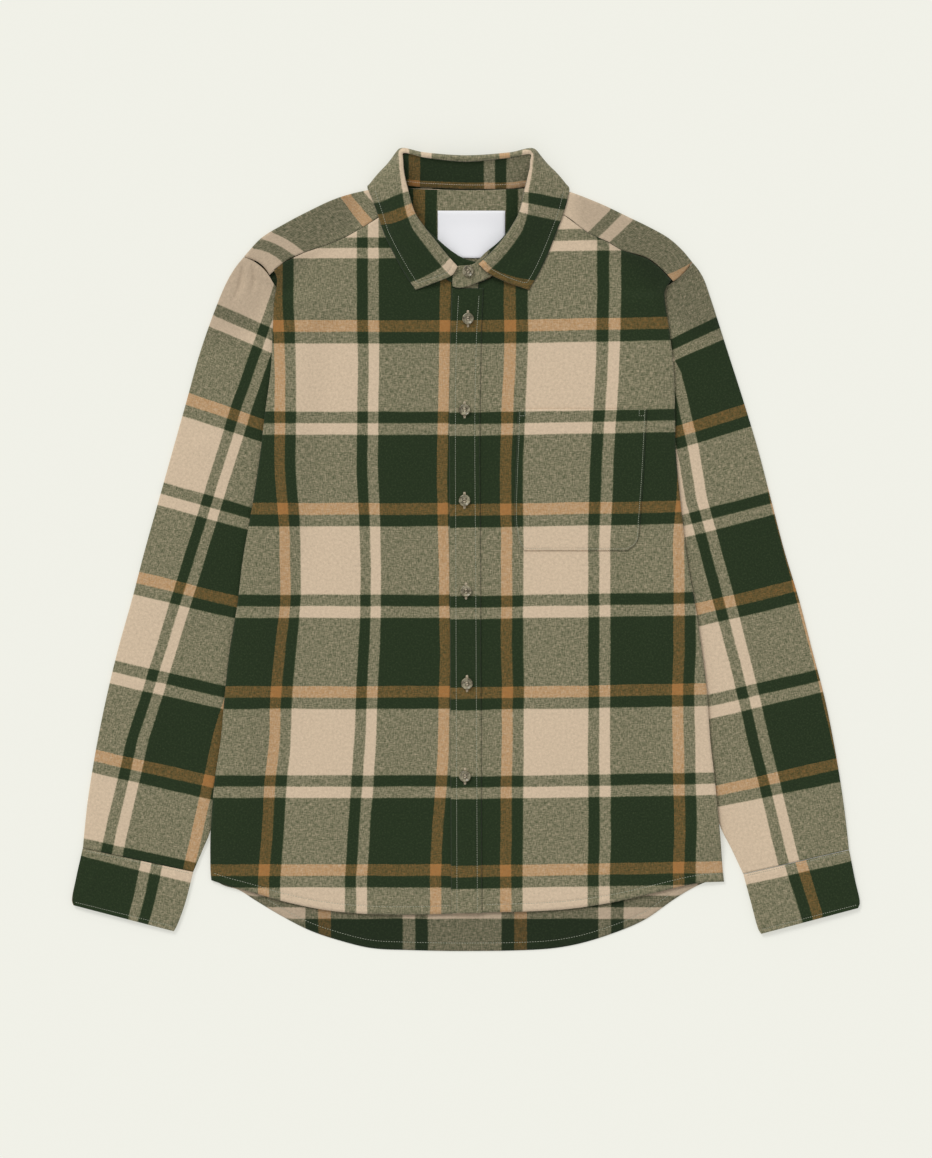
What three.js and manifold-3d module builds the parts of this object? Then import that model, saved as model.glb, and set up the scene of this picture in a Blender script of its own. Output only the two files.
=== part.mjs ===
// A flannel shirt laid flat, front up: each cut and sewn piece is its own closed wall of cloth.
// Millimetres. +Z is up from the surface it lies on, +Y points to the collar, +X is the wearer's left.
import * as THREE from "three";
import Module from "manifold-3d";
import { mergeVertices } from "three/addons/utils/BufferGeometryUtils.js";

// Driving sizes
const cloth = 1.2; // thickness of one layer of flannel with its nap
const seamGap = 0.3; // clear space between two pieces
const step = cloth + seamGap; // height from one layer's middle to the next one's
const sleeveHeight = 4; // a sleeve's two layers, lying loose
const cuffCloth = 1.5;
const cuffHeight = 4.4;
const labelCloth = 1;
const foldRadius = 1.5; // the soft turn of the cloth at the shoulder
const frontSwell = 1.1; // how far the front rises off the back between placket and side
const frontAir = 0.9; // how far it lies off the back everywhere but at its sides
const tabLevel = 7.1; // the middle of the collar stand's tab under its button
const buttonRadius = 5.9;
const buttonHeight = 2.6;
const buttonHoleRadius = 0.95;
const buttonHoleOffset = 1.75;

// Places are measured on the layout, in millimetres: across from its left edge and down from its top
// edge. The shirt's middle is at layoutMiddle, which becomes the origin.
const layoutMiddle = { across: 465.85, down: 550.3 };
const buttonAcross = 466;

// The body's side edges: how far down, the left edge, the right edge
const bodySides = [
  [268, 269, 672],
  [277, 272.5, 671.5],
  [287, 275.5, 664.5],
  [300, 273, 664.5],
  [330, 273, 669],
  [370, 271, 673.5],
  [415, 265, 674.8],
  [450, 261, 675.5],
  [500, 253.5, 680],
  [560, 243, 687],
  [602, 238, 694.5],
  [650, 230, 701.5],
  [690, 225.5, 706.5],
  [740, 221, 710],
  [780, 215, 714.5],
  [830, 211, 719.5],
  [868, 210.5, 722.5],
  [882, 211.5, 724],
];
// Hems: across, how far down
const frontHem = [
  [211, 880],
  [226, 885],
  [252, 892],
  [279, 900],
  [320, 909],
  [362, 913.5],
  [410, 914.5],
  [484, 912.5],
  [560, 909.5],
  [611, 902.5],
  [653, 893],
  [697, 883],
  [724, 881.5],
];
const backHem = [
  [211, 878],
  [224, 885.5],
  [239, 890],
  [255, 900],
  [280, 915],
  [309, 930],
  [338, 940],
  [371, 948],
  [407, 950],
  [466, 951],
  [538, 949.5],
  [573, 945],
  [608, 935],
  [644, 920],
  [673, 900],
  [689, 890],
  [706, 882],
  [724, 878],
];
// The upper edge of each front, along the yoke seam and then down the neck: across, how far down
const rightFrontTop = [
  [269, 274.5],
  [277, 267.6],
  [285, 260.6],
  [305, 251.5],
  [329, 243.5],
  [346, 237],
  [365, 226.5],
  [380, 217],
  [394, 211],
  [403, 233.5],
  [413, 250],
  [425, 265],
  [439, 278.5],
  [457, 289.5],
  [481.8, 290.5],
];
const leftFrontTop = [
  [482.4, 290.5],
  [496, 279],
  [510, 265],
  [522, 250],
  [532, 233.5],
  [541, 210],
  [564.7, 216],
  [587.6, 233],
  [609, 243],
  [620, 249.9],
  [647, 258.5],
  [660, 268.1],
  [672, 281],
];
const backSeam = 288; // where the back panel meets the yoke
// The yoke's stations from one armhole to the other: the front seam, the fold on the shoulder and the
// back seam, each across and down. Stations in the neck hole have no front part.
const yokeStations = [
  { front: [268.4, 274.2], fold: [244.6, 257], back: [279, backSeam] },
  { front: [285, 259.8], fold: [262, 238.4], back: [293, backSeam] },
  { front: [305, 250.9], fold: [284, 225], back: [311, backSeam] },
  { front: [329, 242.9], fold: [306, 213.3], back: [333, backSeam] },
  { front: [354, 232.4], fold: [338, 198.6], back: [357, backSeam] },
  { front: [379, 216.9], fold: [370.5, 190.5], back: [381, backSeam] },
  { front: [392.5, 210], fold: [387, 189], back: [398, backSeam] },
  { fold: [420, 189.6], back: [425, backSeam] },
  { fold: [466, 191], back: [466, backSeam] },
  { fold: [512, 190.8], back: [507, backSeam] },
  { front: [542, 209.6], fold: [546, 189], back: [534, backSeam] },
  { front: [563.5, 214.8], fold: [565, 191.5], back: [553, backSeam] },
  { front: [587.6, 232.2], fold: [598, 203.5], back: [580, backSeam] },
  { front: [609, 242.3], fold: [632, 219.6], back: [603, backSeam] },
  { front: [620, 249.1], fold: [645, 225.8], back: [618, backSeam] },
  { front: [647, 257.8], fold: [668, 238.6], back: [641, backSeam] },
  { front: [660, 267.3], fold: [682, 251], back: [653, backSeam] },
  { front: [671.6, 280.2], fold: [692, 263], back: [664, backSeam] },
];
// Each sleeve's sections: its outer edge and its inner edge, which runs on under the body
const leftPhotoSleeve = [
  { outer: [243.6, 258], inner: [267.2, 277.8] },
  { outer: [236, 267], inner: [269.5, 291] },
  { outer: [228, 280], inner: [272, 303] },
  { outer: [219, 300], inner: [285, 330] },
  { outer: [201, 350], inner: [292, 387] },
  { outer: [187, 400], inner: [286, 434] },
  { outer: [173, 450], inner: [278, 482] },
  { outer: [159, 500], inner: [268, 530] },
  { outer: [145, 550], inner: [257, 579] },
  { outer: [132, 600], inner: [247, 627] },
  { outer: [118, 650], inner: [237, 677] },
  { outer: [106, 700], inner: [228, 728] },
  { outer: [96, 750], inner: [219, 778] },
  { outer: [88, 800], inner: [211, 829] },
  { outer: [85.2, 823], inner: [203, 849] },
  { outer: [82.8, 845.4], inner: [194.2, 870.4] },
];
const rightPhotoSleeve = [
  { outer: [693, 263.6], inner: [673.2, 281.6] },
  { outer: [699, 271], inner: [670, 291] },
  { outer: [704, 280], inner: [666.4, 304] },
  { outer: [711, 300], inner: [654, 330] },
  { outer: [727, 350], inner: [651, 382] },
  { outer: [743, 400], inner: [653, 430] },
  { outer: [758, 450], inner: [657, 479] },
  { outer: [771, 500], inner: [663, 528] },
  { outer: [784, 550], inner: [673, 578] },
  { outer: [799, 600], inner: [684, 627] },
  { outer: [812, 650], inner: [695, 677] },
  { outer: [825, 700], inner: [703, 729] },
  { outer: [835, 750], inner: [711, 779] },
  { outer: [843, 800], inner: [719, 823] },
  { outer: [846.5, 828], inner: [732, 850] },
  { outer: [848.8, 849.4], inner: [743.1, 873.7] },
];
const leftPhotoCuff = [
  { outer: [82.6, 846], inner: [194, 871] },
  { outer: [76.2, 878], inner: [185, 904] },
  { outer: [71.5, 903], inner: [175.5, 930.5] },
];
const rightPhotoCuff = [
  { outer: [849, 850], inner: [743.3, 874.3] },
  { outer: [855, 880], inner: [751, 903] },
  { outer: [860.2, 907], inner: [759, 932] },
];
// The collar stand's stations from its hidden end, round the neck, to the buttoned tab: the neck edge
// and the upper edge, each across, down and up.
const standStations = [
  { neck: [478, 281.6, 5.1], top: [478, 269, 5.3] },
  { neck: [459, 284.6, 5.1], top: [458.5, 268, 6.4] },
  { neck: [440, 276, 4.8], top: [447, 255, 10] },
  { neck: [426, 263, 4.3], top: [436, 241.5, 12.5] },
  { neck: [414, 248, 3.9], top: [425, 228, 14] },
  { neck: [404, 232, 3.9], top: [415.5, 214, 15.5] },
  { neck: [396, 213, 4.4], top: [408.5, 191, 16.5] },
  { neck: [393, 198, 4.9], top: [404.5, 172, 17] },
  { neck: [400, 187.2, 4], top: [403.5, 156, 17.3] },
  { neck: [424, 187.6, 3.3], top: [424, 157.5, 17] },
  { neck: [466, 189.2, 3.3], top: [466, 160, 16.6] },
  { neck: [510, 189, 3.3], top: [510, 157.5, 17] },
  { neck: [534, 188, 4], top: [530.5, 156, 17.3] },
  { neck: [541, 198, 4.9], top: [528.5, 172, 17] },
  { neck: [538, 213, 4.4], top: [524, 191, 16.5] },
  { neck: [530, 232, 3.9], top: [518.5, 214, 15.5] },
  { neck: [520, 248, 3.9], top: [510, 229, 14] },
  { neck: [508, 262, 4.9], top: [500, 242.5, 12.8] },
  { neck: [492, 276, 6.4], top: [489, 254.5, 10.6] },
  { neck: [474, 284.5, 6.7], top: [473, 265.5, 7.3] },
  { neck: [458, 288.5, 6.7], top: [458, 266.4, 7.1] },
  { neck: [452.4, 286.6, 6.7], top: [452.4, 269.5, 7] },
];
// The collar leaf's stations from one point to the other: where it leaves the stand, where it turns
// over, its knee and its outer edge. The back of the leaf lies under the yoke.
const leafStations = [
  { start: [458, 267.4, 7.2], over: [452.5, 275.5, 9.4], knee: [434, 283.5, 7.6], edge: [415.5, 290.2] },
  { start: [447, 255, 10], over: [436, 262, 11.6], knee: [420, 268.5, 8.4], edge: [404, 272.5] },
  { start: [436, 241.5, 12.5], over: [424, 247, 13.8], knee: [407, 250, 9.2], edge: [392, 250.5] },
  { start: [425, 228, 14], over: [412, 231.5, 15.2], knee: [396, 232.5, 9.8], edge: [382.6, 230] },
  { start: [415.5, 214, 15.5], over: [403, 215.5, 16.4], knee: [388, 215, 10.4], edge: [377.2, 213] },
  { start: [408.5, 191, 16.5], over: [397, 193, 16.6], knee: [381, 197, 11], edge: [371.6, 198] },
  { start: [404.5, 173, 17], over: [392, 177, 15.2], knee: [376.4, 179.8, 9], edge: [367.6, 187, 5] },
  { start: [403.6, 162, 17.2], over: [395.5, 162.5, 13.6], knee: [386, 166.6, 5.4], edge: [378, 191, 0.6] },
  { start: [403.5, 155, 17.3], over: [399.6, 150.3, 13], knee: [398, 156.5, 3.6], edge: [396, 194, 0.6] },
  { start: [424, 157.5, 17], over: [424, 154, 13], knee: [424, 160, 3], edge: [424, 196, 0.6] },
  { start: [466, 160, 16.6], over: [466, 157, 12.6], knee: [466, 163, 3], edge: [466, 197, 0.6] },
  { start: [510, 157.5, 17], over: [510, 154, 13], knee: [510, 160, 3], edge: [510, 196, 0.6] },
  { start: [530.5, 155, 17.3], over: [534.2, 150.4, 13], knee: [536, 156.5, 3.6], edge: [538, 194, 0.6] },
  { start: [529.8, 162, 17.2], over: [539.5, 162.5, 13.6], knee: [549, 166.6, 5.4], edge: [557, 191, 0.6] },
  { start: [528.5, 173, 17], over: [545, 177, 15.2], knee: [559.6, 180, 9], edge: [568.8, 188, 5] },
  { start: [524, 191, 16.5], over: [539, 193, 16.6], knee: [556, 197, 11], edge: [567.6, 199] },
  { start: [518.5, 214, 15.5], over: [533, 215.5, 16.4], knee: [549, 216, 10.4], edge: [562.5, 216.5] },
  { start: [510, 229, 14], over: [524, 232, 15.2], knee: [541, 234, 9.8], edge: [556, 233.5] },
  { start: [500, 242.5, 12.8], over: [512, 248, 13.8], knee: [531, 252, 9.2], edge: [548, 254] },
  { start: [489, 254.5, 10.6], over: [500, 263.5, 11.8], knee: [520, 270.5, 8.4], edge: [539, 273] },
  { start: [478, 264.6, 8.6], over: [487.6, 273.6, 10.6], knee: [507, 283, 7.8], edge: [529, 290.4] },
];
// The strip with the buttonholes: how far down, its free edge, its seam
const placketSides = [
  [288.4, 452, 484.4],
  [600, 451.6, 483.2],
  [913, 451.4, 481.8],
];
// The chest pocket: how far down, its left side, its right side
const pocketSides = [
  [409, 518, 646.4],
  [440, 517, 645],
  [478, 515.6, 643],
  [520, 514, 640],
  [538, 516.4, 638.6],
  [545.6, 520.6, 634.8],
  [550.6, 528, 627],
];
const labelArea = { left: 437.7, right: 505.2, top: 211, bottom: 258.4 };
const facingArea = { left: 406, right: 527, top: 191, bottom: backSeam - 0.4 };
// The buttons down the strip, and the one on the collar stand's tab: across, how far down
const buttonPlaces = [
  [468, 319],
  [464.6, 410],
  [464.5, 500.5],
  [466, 591],
  [467, 683.5],
  [465, 776],
];
const collarButtonPlace = [468, 271.6];

// Colours
const flannel = new THREE.MeshStandardMaterial({ color: 0x6f6a52, roughness: 0.95, metalness: 0 });
const labelWhite = new THREE.MeshStandardMaterial({ color: 0xe9e6de, roughness: 0.8, metalness: 0 });
const horn = new THREE.MeshStandardMaterial({ color: 0x6e6458, roughness: 0.4, metalness: 0 });

const lerp = (a, b, t) => a + (b - a) * t;
const easeBetween = (low, high, x) => {
  const t = Math.min(1, Math.max(0, (x - low) / (high - low)));
  return t * t * (3 - 2 * t);
};

// A smooth curve through a table's rows, read at x in its first column
function readTable(table, x, column = 1) {
  const last = table.length - 1;
  let i = 0;
  while (i < last - 1 && x > table[i + 1][0]) i += 1;
  const slopeAt = (k) => {
    const before = table[Math.max(0, k - 1)];
    const after = table[Math.min(last, k + 1)];
    return (after[column] - before[column]) / (after[0] - before[0]);
  };
  const [a, b] = [table[i], table[i + 1]];
  const width = b[0] - a[0];
  const t = Math.min(1, Math.max(0, (x - a[0]) / width));
  const [t2, t3] = [t * t, t * t * t];
  return (
    (2 * t3 - 3 * t2 + 1) * a[column] +
    (t3 - 2 * t2 + t) * width * slopeAt(i) +
    (3 * t2 - 2 * t3) * b[column] +
    (t3 - t2) * width * slopeAt(i + 1)
  );
}

// The same, with straight lines, for an edge that has corners
function readCorners(table, x) {
  const last = table.length - 1;
  let i = 0;
  while (i < last - 1 && x > table[i + 1][0]) i += 1;
  const t = Math.min(1, Math.max(0, (x - table[i][0]) / (table[i + 1][0] - table[i][0])));
  return lerp(table[i][1], table[i + 1][1], t);
}

// How high the cloth of the body is lifted where it runs over the sleeves
function sleeveLift(across, down) {
  const left = across - readTable(bodySides, down, 1);
  const right = readTable(bodySides, down, 2) - across;
  const inside = 1 - easeBetween(24, 62, Math.min(left, right));
  const along = easeBetween(289, 302, down) * (1 - easeBetween(836, 872, down));
  return (sleeveHeight + seamGap) * inside * along;
}

// How high the yoke is lifted where the back of the collar leaf lies under it
function leafLift(across, down) {
  const wide = 1 - easeBetween(101, 122, Math.abs(across - layoutMiddle.across));
  return step * wide * (1 - easeBetween(199, 222, down));
}

// The middle of the back layer and of the front layer above the surface
const backLevel = (across, down) => cloth / 2 + sleeveLift(across, down) + leafLift(across, down);
const facingLevel = (across, down) => cloth / 2 + step + leafLift(across, down - 8);

function frontLevel(across, down) {
  const upperBody = 1 - easeBetween(296, 340, down);
  const side = readTable(bodySides, down, across < buttonAcross ? 1 : 2);
  const share = Math.min(1, Math.abs(across - buttonAcross) / Math.abs(side - buttonAcross));
  const swell = Math.sin(Math.PI * share) ** 2 * easeBetween(300, 420, down) * (1 - easeBetween(780, 900, down));
  const air = frontAir * easeBetween(0, 16, Math.abs(across - side)) * easeBetween(280, 350, down);
  return backLevel(across, down) + step + step * upperBody + air + frontSwell * swell;
}

const place = (across, down, up) =>
  new THREE.Vector3(across - layoutMiddle.across, layoutMiddle.down - down, up);

// A closed wall of cloth around a grid of middle points. Cells that touch a missing point are left out.
function wallOfGrid(grid, thickness = cloth) {
  const rows = grid.length;
  const columns = grid[0].length;
  const at = (i, j) => (i < 0 || j < 0 || i >= rows || j >= columns ? null : grid[i][j]);
  const hasCell = (i, j) => at(i, j) && at(i + 1, j) && at(i, j + 1) && at(i + 1, j + 1);
  const positions = [];
  const indices = [];
  const upper = grid.map((row) => row.map(() => -1));
  for (let i = 0; i < rows; i += 1) {
    for (let j = 0; j < columns; j += 1) {
      if (!at(i, j)) continue;
      const alongRow = new THREE.Vector3().subVectors(at(i, j + 1) || at(i, j), at(i, j - 1) || at(i, j));
      const downRows = new THREE.Vector3().subVectors(at(i + 1, j) || at(i, j), at(i - 1, j) || at(i, j));
      const normal = downRows.cross(alongRow).normalize().multiplyScalar(thickness / 2);
      upper[i][j] = positions.length / 3;
      positions.push(...at(i, j).clone().add(normal).toArray());
      positions.push(...at(i, j).clone().sub(normal).toArray());
    }
  }
  const quad = (a, b, c, d) => indices.push(a, b, c, a, c, d);
  for (let i = 0; i < rows - 1; i += 1) {
    for (let j = 0; j < columns - 1; j += 1) {
      if (!hasCell(i, j)) continue;
      const [a, b, c, d] = [upper[i][j], upper[i + 1][j], upper[i + 1][j + 1], upper[i][j + 1]];
      quad(a, b, c, d);
      quad(a + 1, d + 1, c + 1, b + 1);
      if (!hasCell(i - 1, j)) quad(a, d, d + 1, a + 1);
      if (!hasCell(i + 1, j)) quad(b, b + 1, c + 1, c);
      if (!hasCell(i, j - 1)) quad(a, a + 1, b + 1, b);
      if (!hasCell(i, j + 1)) quad(d, c, c + 1, d + 1);
    }
  }
  return geometryOf(positions, indices);
}

function geometryOf(positions, indices) {
  const geometry = new THREE.BufferGeometry();
  geometry.setAttribute("position", new THREE.Float32BufferAttribute(positions, 3));
  geometry.setIndex(indices);
  geometry.computeVertexNormals();
  return geometry;
}

// A grid whose points come from a function of two shares, each from 0 to 1
function gridOf(rows, columns, pointAt) {
  return rows.map((i) => columns.map((j) => pointAt(i, j)));
}
const shares = (count) => Array.from({ length: count + 1 }, (_, k) => k / count);

// A flattened open tube: each section lies between an outer and an inner edge, its underside on the
// surface. A section is a flat loop, half its width across and half its height up, whose height is
// the sine to the power flatness.
function flattenedTube(sections, height, thickness, sides = 14) {
  const flatness = 0.3;
  const positions = [];
  const indices = [];
  const ring = (section, inset) => {
    const outer = place(...section.outer, height / 2);
    const inner = place(...section.inner, height / 2);
    const middle = outer.clone().lerp(inner, 0.5);
    const across = outer.clone().sub(middle);
    const reach = (across.length() - inset) / across.length();
    for (let k = 0; k < sides; k += 1) {
      const angle = (2 * Math.PI * k) / sides;
      const rise = Math.sign(Math.sin(angle)) * Math.abs(Math.sin(angle)) ** flatness;
      const flat = Math.abs(Math.sin(angle)) < 1e-9 ? 0 : rise;
      const point = middle.clone().addScaledVector(across, reach * Math.cos(angle));
      positions.push(point.x, point.y, point.z + (height / 2 - inset) * flat);
    }
  };
  sections.forEach((section) => ring(section, 0));
  sections.forEach((section) => ring(section, thickness));
  const count = sections.length;
  const outside = (r, k) => r * sides + (k % sides);
  const inside = (r, k) => (count + r) * sides + (k % sides);
  const quad = (a, b, c, d) => indices.push(a, b, c, a, c, d);
  for (let k = 0; k < sides; k += 1) {
    for (let r = 0; r < count - 1; r += 1) {
      quad(outside(r, k), outside(r, k + 1), outside(r + 1, k + 1), outside(r + 1, k));
      quad(inside(r, k), inside(r + 1, k), inside(r + 1, k + 1), inside(r, k + 1));
    }
    quad(outside(0, k), inside(0, k), inside(0, k + 1), outside(0, k + 1));
    const end = count - 1;
    quad(outside(end, k), outside(end, k + 1), inside(end, k + 1), inside(end, k));
  }
  return faceOutward(positions, indices);
}

// Turns every triangle round if the closed surface encloses a negative volume
function faceOutward(positions, indices) {
  let volume = 0;
  const point = (k) => new THREE.Vector3().fromArray(positions, 3 * k);
  for (let k = 0; k < indices.length; k += 3) {
    volume += point(indices[k]).dot(point(indices[k + 1]).cross(point(indices[k + 2])));
  }
  const turned = volume < 0 ? indices.map((_, k) => indices[k % 3 === 1 ? k + 1 : k % 3 === 2 ? k - 1 : k]) : indices;
  return geometryOf(positions, turned);
}

// A smooth curve through one column of a list of stations, as points at the given shares
function throughStations(points, at) {
  return new THREE.CatmullRomCurve3(points, false, "centripetal").getPoint(at);
}

// A panel of the body between two edges, from its upper edge down to its hem. Each column keeps its
// share of the way between the edges, so the columns fan out with the sides.
function bodyPanel({ from, to, top, hem, level, columns, rows }) {
  const acrossAt = (share, down) => lerp(from(down), to(down), share);
  const meets = (share, edgeAt) => {
    let down = edgeAt(acrossAt(share, 500));
    for (let k = 0; k < 12; k += 1) down = edgeAt(acrossAt(share, down));
    return down;
  };
  const upper = columns.map((share) => meets(share, (across) => readCorners(top, across)));
  const lower = columns.map((share) => meets(share, (across) => readTable(hem, across)));
  return gridOf(rows, columns.map((_, k) => k), (t, k) => {
    const down = lerp(upper[k], lower[k], t);
    const across = acrossAt(columns[k], down);
    return place(across, down, level(across, down));
  });
}

const sideEdge = (column, inset) => (down) => readTable(bodySides, down, column) + inset;
const centreEdge = (across) => (down) => across - 1.4 * easeBetween(290, 912, down);
const sideColumns = [0, 0.05, 0.12, 0.2, 0.28, 0.36, 0.46];
const bodyRows = [0, 0.016, 0.032, 0.055, 0.09, 0.13, 0.18, 0.24, 0.3, 0.37, 0.44, 0.51, 0.58, 0.65, 0.72, 0.79, 0.85, 0.9, 0.94, 0.97, 1];

function front(isRight) {
  const from = isRight ? sideEdge(1, 0) : centreEdge(482.4);
  const to = isRight ? centreEdge(482) : sideEdge(2, 0);
  const neckCorner = isRight ? (394 - 271) / (482 - 271) : (541 - 482.4) / (671.5 - 482.4);
  const columns = isRight
    ? [...sideColumns, neckCorner, 0.66, 0.73, 0.8, 0.87, 0.93, 1]
    : [0, 0.08, 0.16, 0.23, neckCorner, 0.42, 0.54, ...sideColumns.map((share) => 1 - share).reverse()].filter(
        (share, k, all) => k === 0 || share - all[k - 1] > 0.02,
      );
  const top = isRight ? rightFrontTop : leftFrontTop;
  return wallOfGrid(bodyPanel({ from, to, top, hem: frontHem, level: frontLevel, columns, rows: bodyRows }));
}

function back() {
  const half = [0, 0.025, 0.06, 0.1, 0.14, 0.2, 0.28, 0.36, 0.44];
  const columns = [...half, 0.5, ...half.map((share) => 1 - share).reverse()];
  const top = [
    [200, backSeam + seamGap],
    [740, backSeam + seamGap],
  ];
  const edges = { from: sideEdge(1, 0.8), to: sideEdge(2, -0.8) };
  return wallOfGrid(bodyPanel({ ...edges, top, hem: backHem, level: backLevel, columns, rows: bodyRows }));
}

// The yoke runs from the front seam up over the shoulder, round its fold and down the back
function yoke() {
  const frontShares = [0, 0.35, 0.7, 1];
  const backShares = [0, 0.2, 0.4, 0.6, 0.8, 1];
  const columns = yokeStations.map((station) => {
    const fold = new THREE.Vector2(...station.fold);
    const back = new THREE.Vector2(...station.back);
    const onLayer = (point, level) => place(point.x, point.y, level(point.x, point.y));
    const inward = (end) => end.clone().sub(fold).setLength(foldRadius + 0.4).add(fold);
    const backRows = backShares.map((t) => onLayer(inward(back).lerp(back, t), backLevel));
    if (!station.front) return [null, null, null, null, null, ...backRows];
    const frontEdge = new THREE.Vector2(...station.front);
    const frontRows = frontShares.map((t) => onLayer(frontEdge.clone().lerp(inward(frontEdge), t), frontLevel));
    const turn = place(fold.x, fold.y, (backLevel(fold.x, fold.y) + frontLevel(fold.x, fold.y)) / 2);
    return [...frontRows, turn, ...backRows];
  });
  const rows = columns[0].map((_, i) => columns.map((column) => column[i]));
  return wallOfGrid(rows.map((row) => row.slice().reverse()));
}

function facing() {
  const grid = gridOf(shares(8), shares(6), (t, s) => {
    const across = lerp(facingArea.left, facingArea.right, s);
    const down = lerp(facingArea.top, facingArea.bottom, t);
    return place(across, down, facingLevel(across, down));
  });
  return wallOfGrid(grid);
}

function label() {
  const above = (cloth + labelCloth) / 2 + seamGap;
  const grid = gridOf(shares(3), shares(3), (t, s) => {
    const across = lerp(labelArea.left, labelArea.right, s);
    const down = lerp(labelArea.top, labelArea.bottom, t);
    return place(across, down, facingLevel(across, down) + above);
  });
  return wallOfGrid(grid, labelCloth);
}

function collarStand() {
  const neck = standStations.map((station) => place(...station.neck));
  const top = standStations.map((station) => place(...station.top));
  const along = shares(42);
  return wallOfGrid(
    gridOf([0, 0.5, 1], along, (t, s) => throughStations(top, s).lerp(throughStations(neck, s), t)),
  );
}

// The leaf leaves the stand's upper edge, turns over and runs down to its outer edge
function collarLeaf() {
  const lineOf = (name) => leafStations.map((station) => {
    const [across, down, up] = station[name];
    return place(across, down, up ?? frontLevel(across, down) + step);
  });
  const [start, over, knee, edge] = ["start", "over", "knee", "edge"].map(lineOf);
  const rows = gridOf(shares(8), shares(40), (t, s) => {
    const [a, b, c, d] = [start, over, knee, edge].map((line) => throughStations(line, s));
    const first = a.clone().add(new THREE.Vector3(0, 0, cloth / 2 + seamGap + 0.3));
    const ridge = a.clone().lerp(b, 0.3);
    ridge.z = Math.max(a.z, b.z) + cloth / 2 + seamGap + 0.9;
    const point = new THREE.CatmullRomCurve3([first, ridge, b, c, d], false, "centripetal").getPoint(t);
    point.z = Math.max(point.z, cloth / 2);
    return point;
  });
  return wallOfGrid(rows.slice().reverse());
}

// A piece that lies on the front, made from the front's points moved out by one layer
function onFront(sides, rowShares, columnCount) {
  const top = sides[0][0];
  const bottom = sides[sides.length - 1][0];
  const rows = rowShares.map((t) => lerp(top, bottom, t));
  return wallOfGrid(
    gridOf(rows, shares(columnCount), (down, s) => {
      const across = lerp(readTable(sides, down, 1), readTable(sides, down, 2), s);
      return place(across, down, frontLevel(across, down) + step);
    }),
  );
}

let wasm;
async function cutSolid(body, cutters) {
  if (!wasm) {
    wasm = await Module();
    wasm.setup();
  }
  const solidOf = (geometry) => {
    const bare = geometry.clone();
    bare.deleteAttribute("normal");
    bare.deleteAttribute("uv");
    const merged = mergeVertices(bare, 1e-4);
    const vertProperties = merged.attributes.position.array;
    return new wasm.Manifold(new wasm.Mesh({ numProp: 3, vertProperties, triVerts: new Uint32Array(merged.index.array) }));
  };
  let solid = solidOf(body);
  for (const cutter of cutters) solid = solid.subtract(solidOf(cutter));
  const mesh = solid.getMesh();
  return geometryOf(Array.from(mesh.vertProperties), Array.from(mesh.triVerts));
}

// A four-hole button: a dished disc with a rounded rim, turned about its axis
async function buttonGeometry() {
  const r = buttonRadius;
  const h = buttonHeight;
  const profile = [
    [0, 0],
    [0.8 * r, 0],
    [r, 0.35 * h],
    [0.97 * r, 0.8 * h],
    [0.82 * r, h],
    [0.64 * r, 0.72 * h],
    [0, 0.66 * h],
  ].map(([x, y]) => new THREE.Vector2(x, y));
  const disc = new THREE.LatheGeometry(profile, 20).rotateX(Math.PI / 2);
  const holes = [0, 1, 2, 3].map((k) => {
    const angle = Math.PI / 4 + (k * Math.PI) / 2;
    return new THREE.CylinderGeometry(buttonHoleRadius, buttonHoleRadius, 3 * h, 8)
      .rotateX(Math.PI / 2)
      .translate(Math.cos(angle) * buttonHoleOffset * Math.SQRT2, Math.sin(angle) * buttonHoleOffset * Math.SQRT2, 0);
  });
  return cutSolid(disc, holes);
}

const shirt = new THREE.Group();
function addPiece(name, geometry, material) {
  const mesh = new THREE.Mesh(geometry, material);
  mesh.name = name;
  shirt.add(mesh);
  return mesh;
}

addPiece("back", back(), flannel);
addPiece("yoke", yoke(), flannel);
addPiece("yoke_facing", facing(), flannel);
addPiece("front_right", front(true), flannel);
addPiece("front_left", front(false), flannel);
addPiece("placket", onFront(placketSides, bodyRows, 2), flannel);
addPiece("pocket", onFront(pocketSides, [0, 0.2, 0.4, 0.6, 0.78, 0.87, 0.93, 0.97, 1], 6), flannel);
addPiece("label", label(), labelWhite);
addPiece("collar_stand", collarStand(), flannel);
addPiece("collar_leaf", collarLeaf(), flannel);
addPiece("sleeve_right", flattenedTube(leftPhotoSleeve, sleeveHeight, cloth), flannel);
addPiece("sleeve_left", flattenedTube(rightPhotoSleeve, sleeveHeight, cloth), flannel);
addPiece("cuff_right", flattenedTube(leftPhotoCuff, cuffHeight, cuffCloth), flannel);
addPiece("cuff_left", flattenedTube(rightPhotoCuff, cuffHeight, cuffCloth), flannel);

const button = await buttonGeometry();
const placketTop = (across, down) => frontLevel(across, down) + step + cloth / 2;
buttonPlaces.forEach(([across, down], k) => {
  const mesh = addPiece("button_" + (k + 1), button, horn);
  mesh.position.copy(place(across, down, placketTop(across, down) + seamGap));
});
const [collarAcross, collarDown] = collarButtonPlace;
const tabTop = tabLevel + cloth / 2;
addPiece("button_collar", button, horn).position.copy(place(collarAcross, collarDown, tabTop + seamGap));

export default shirt;
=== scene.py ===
import math

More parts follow.
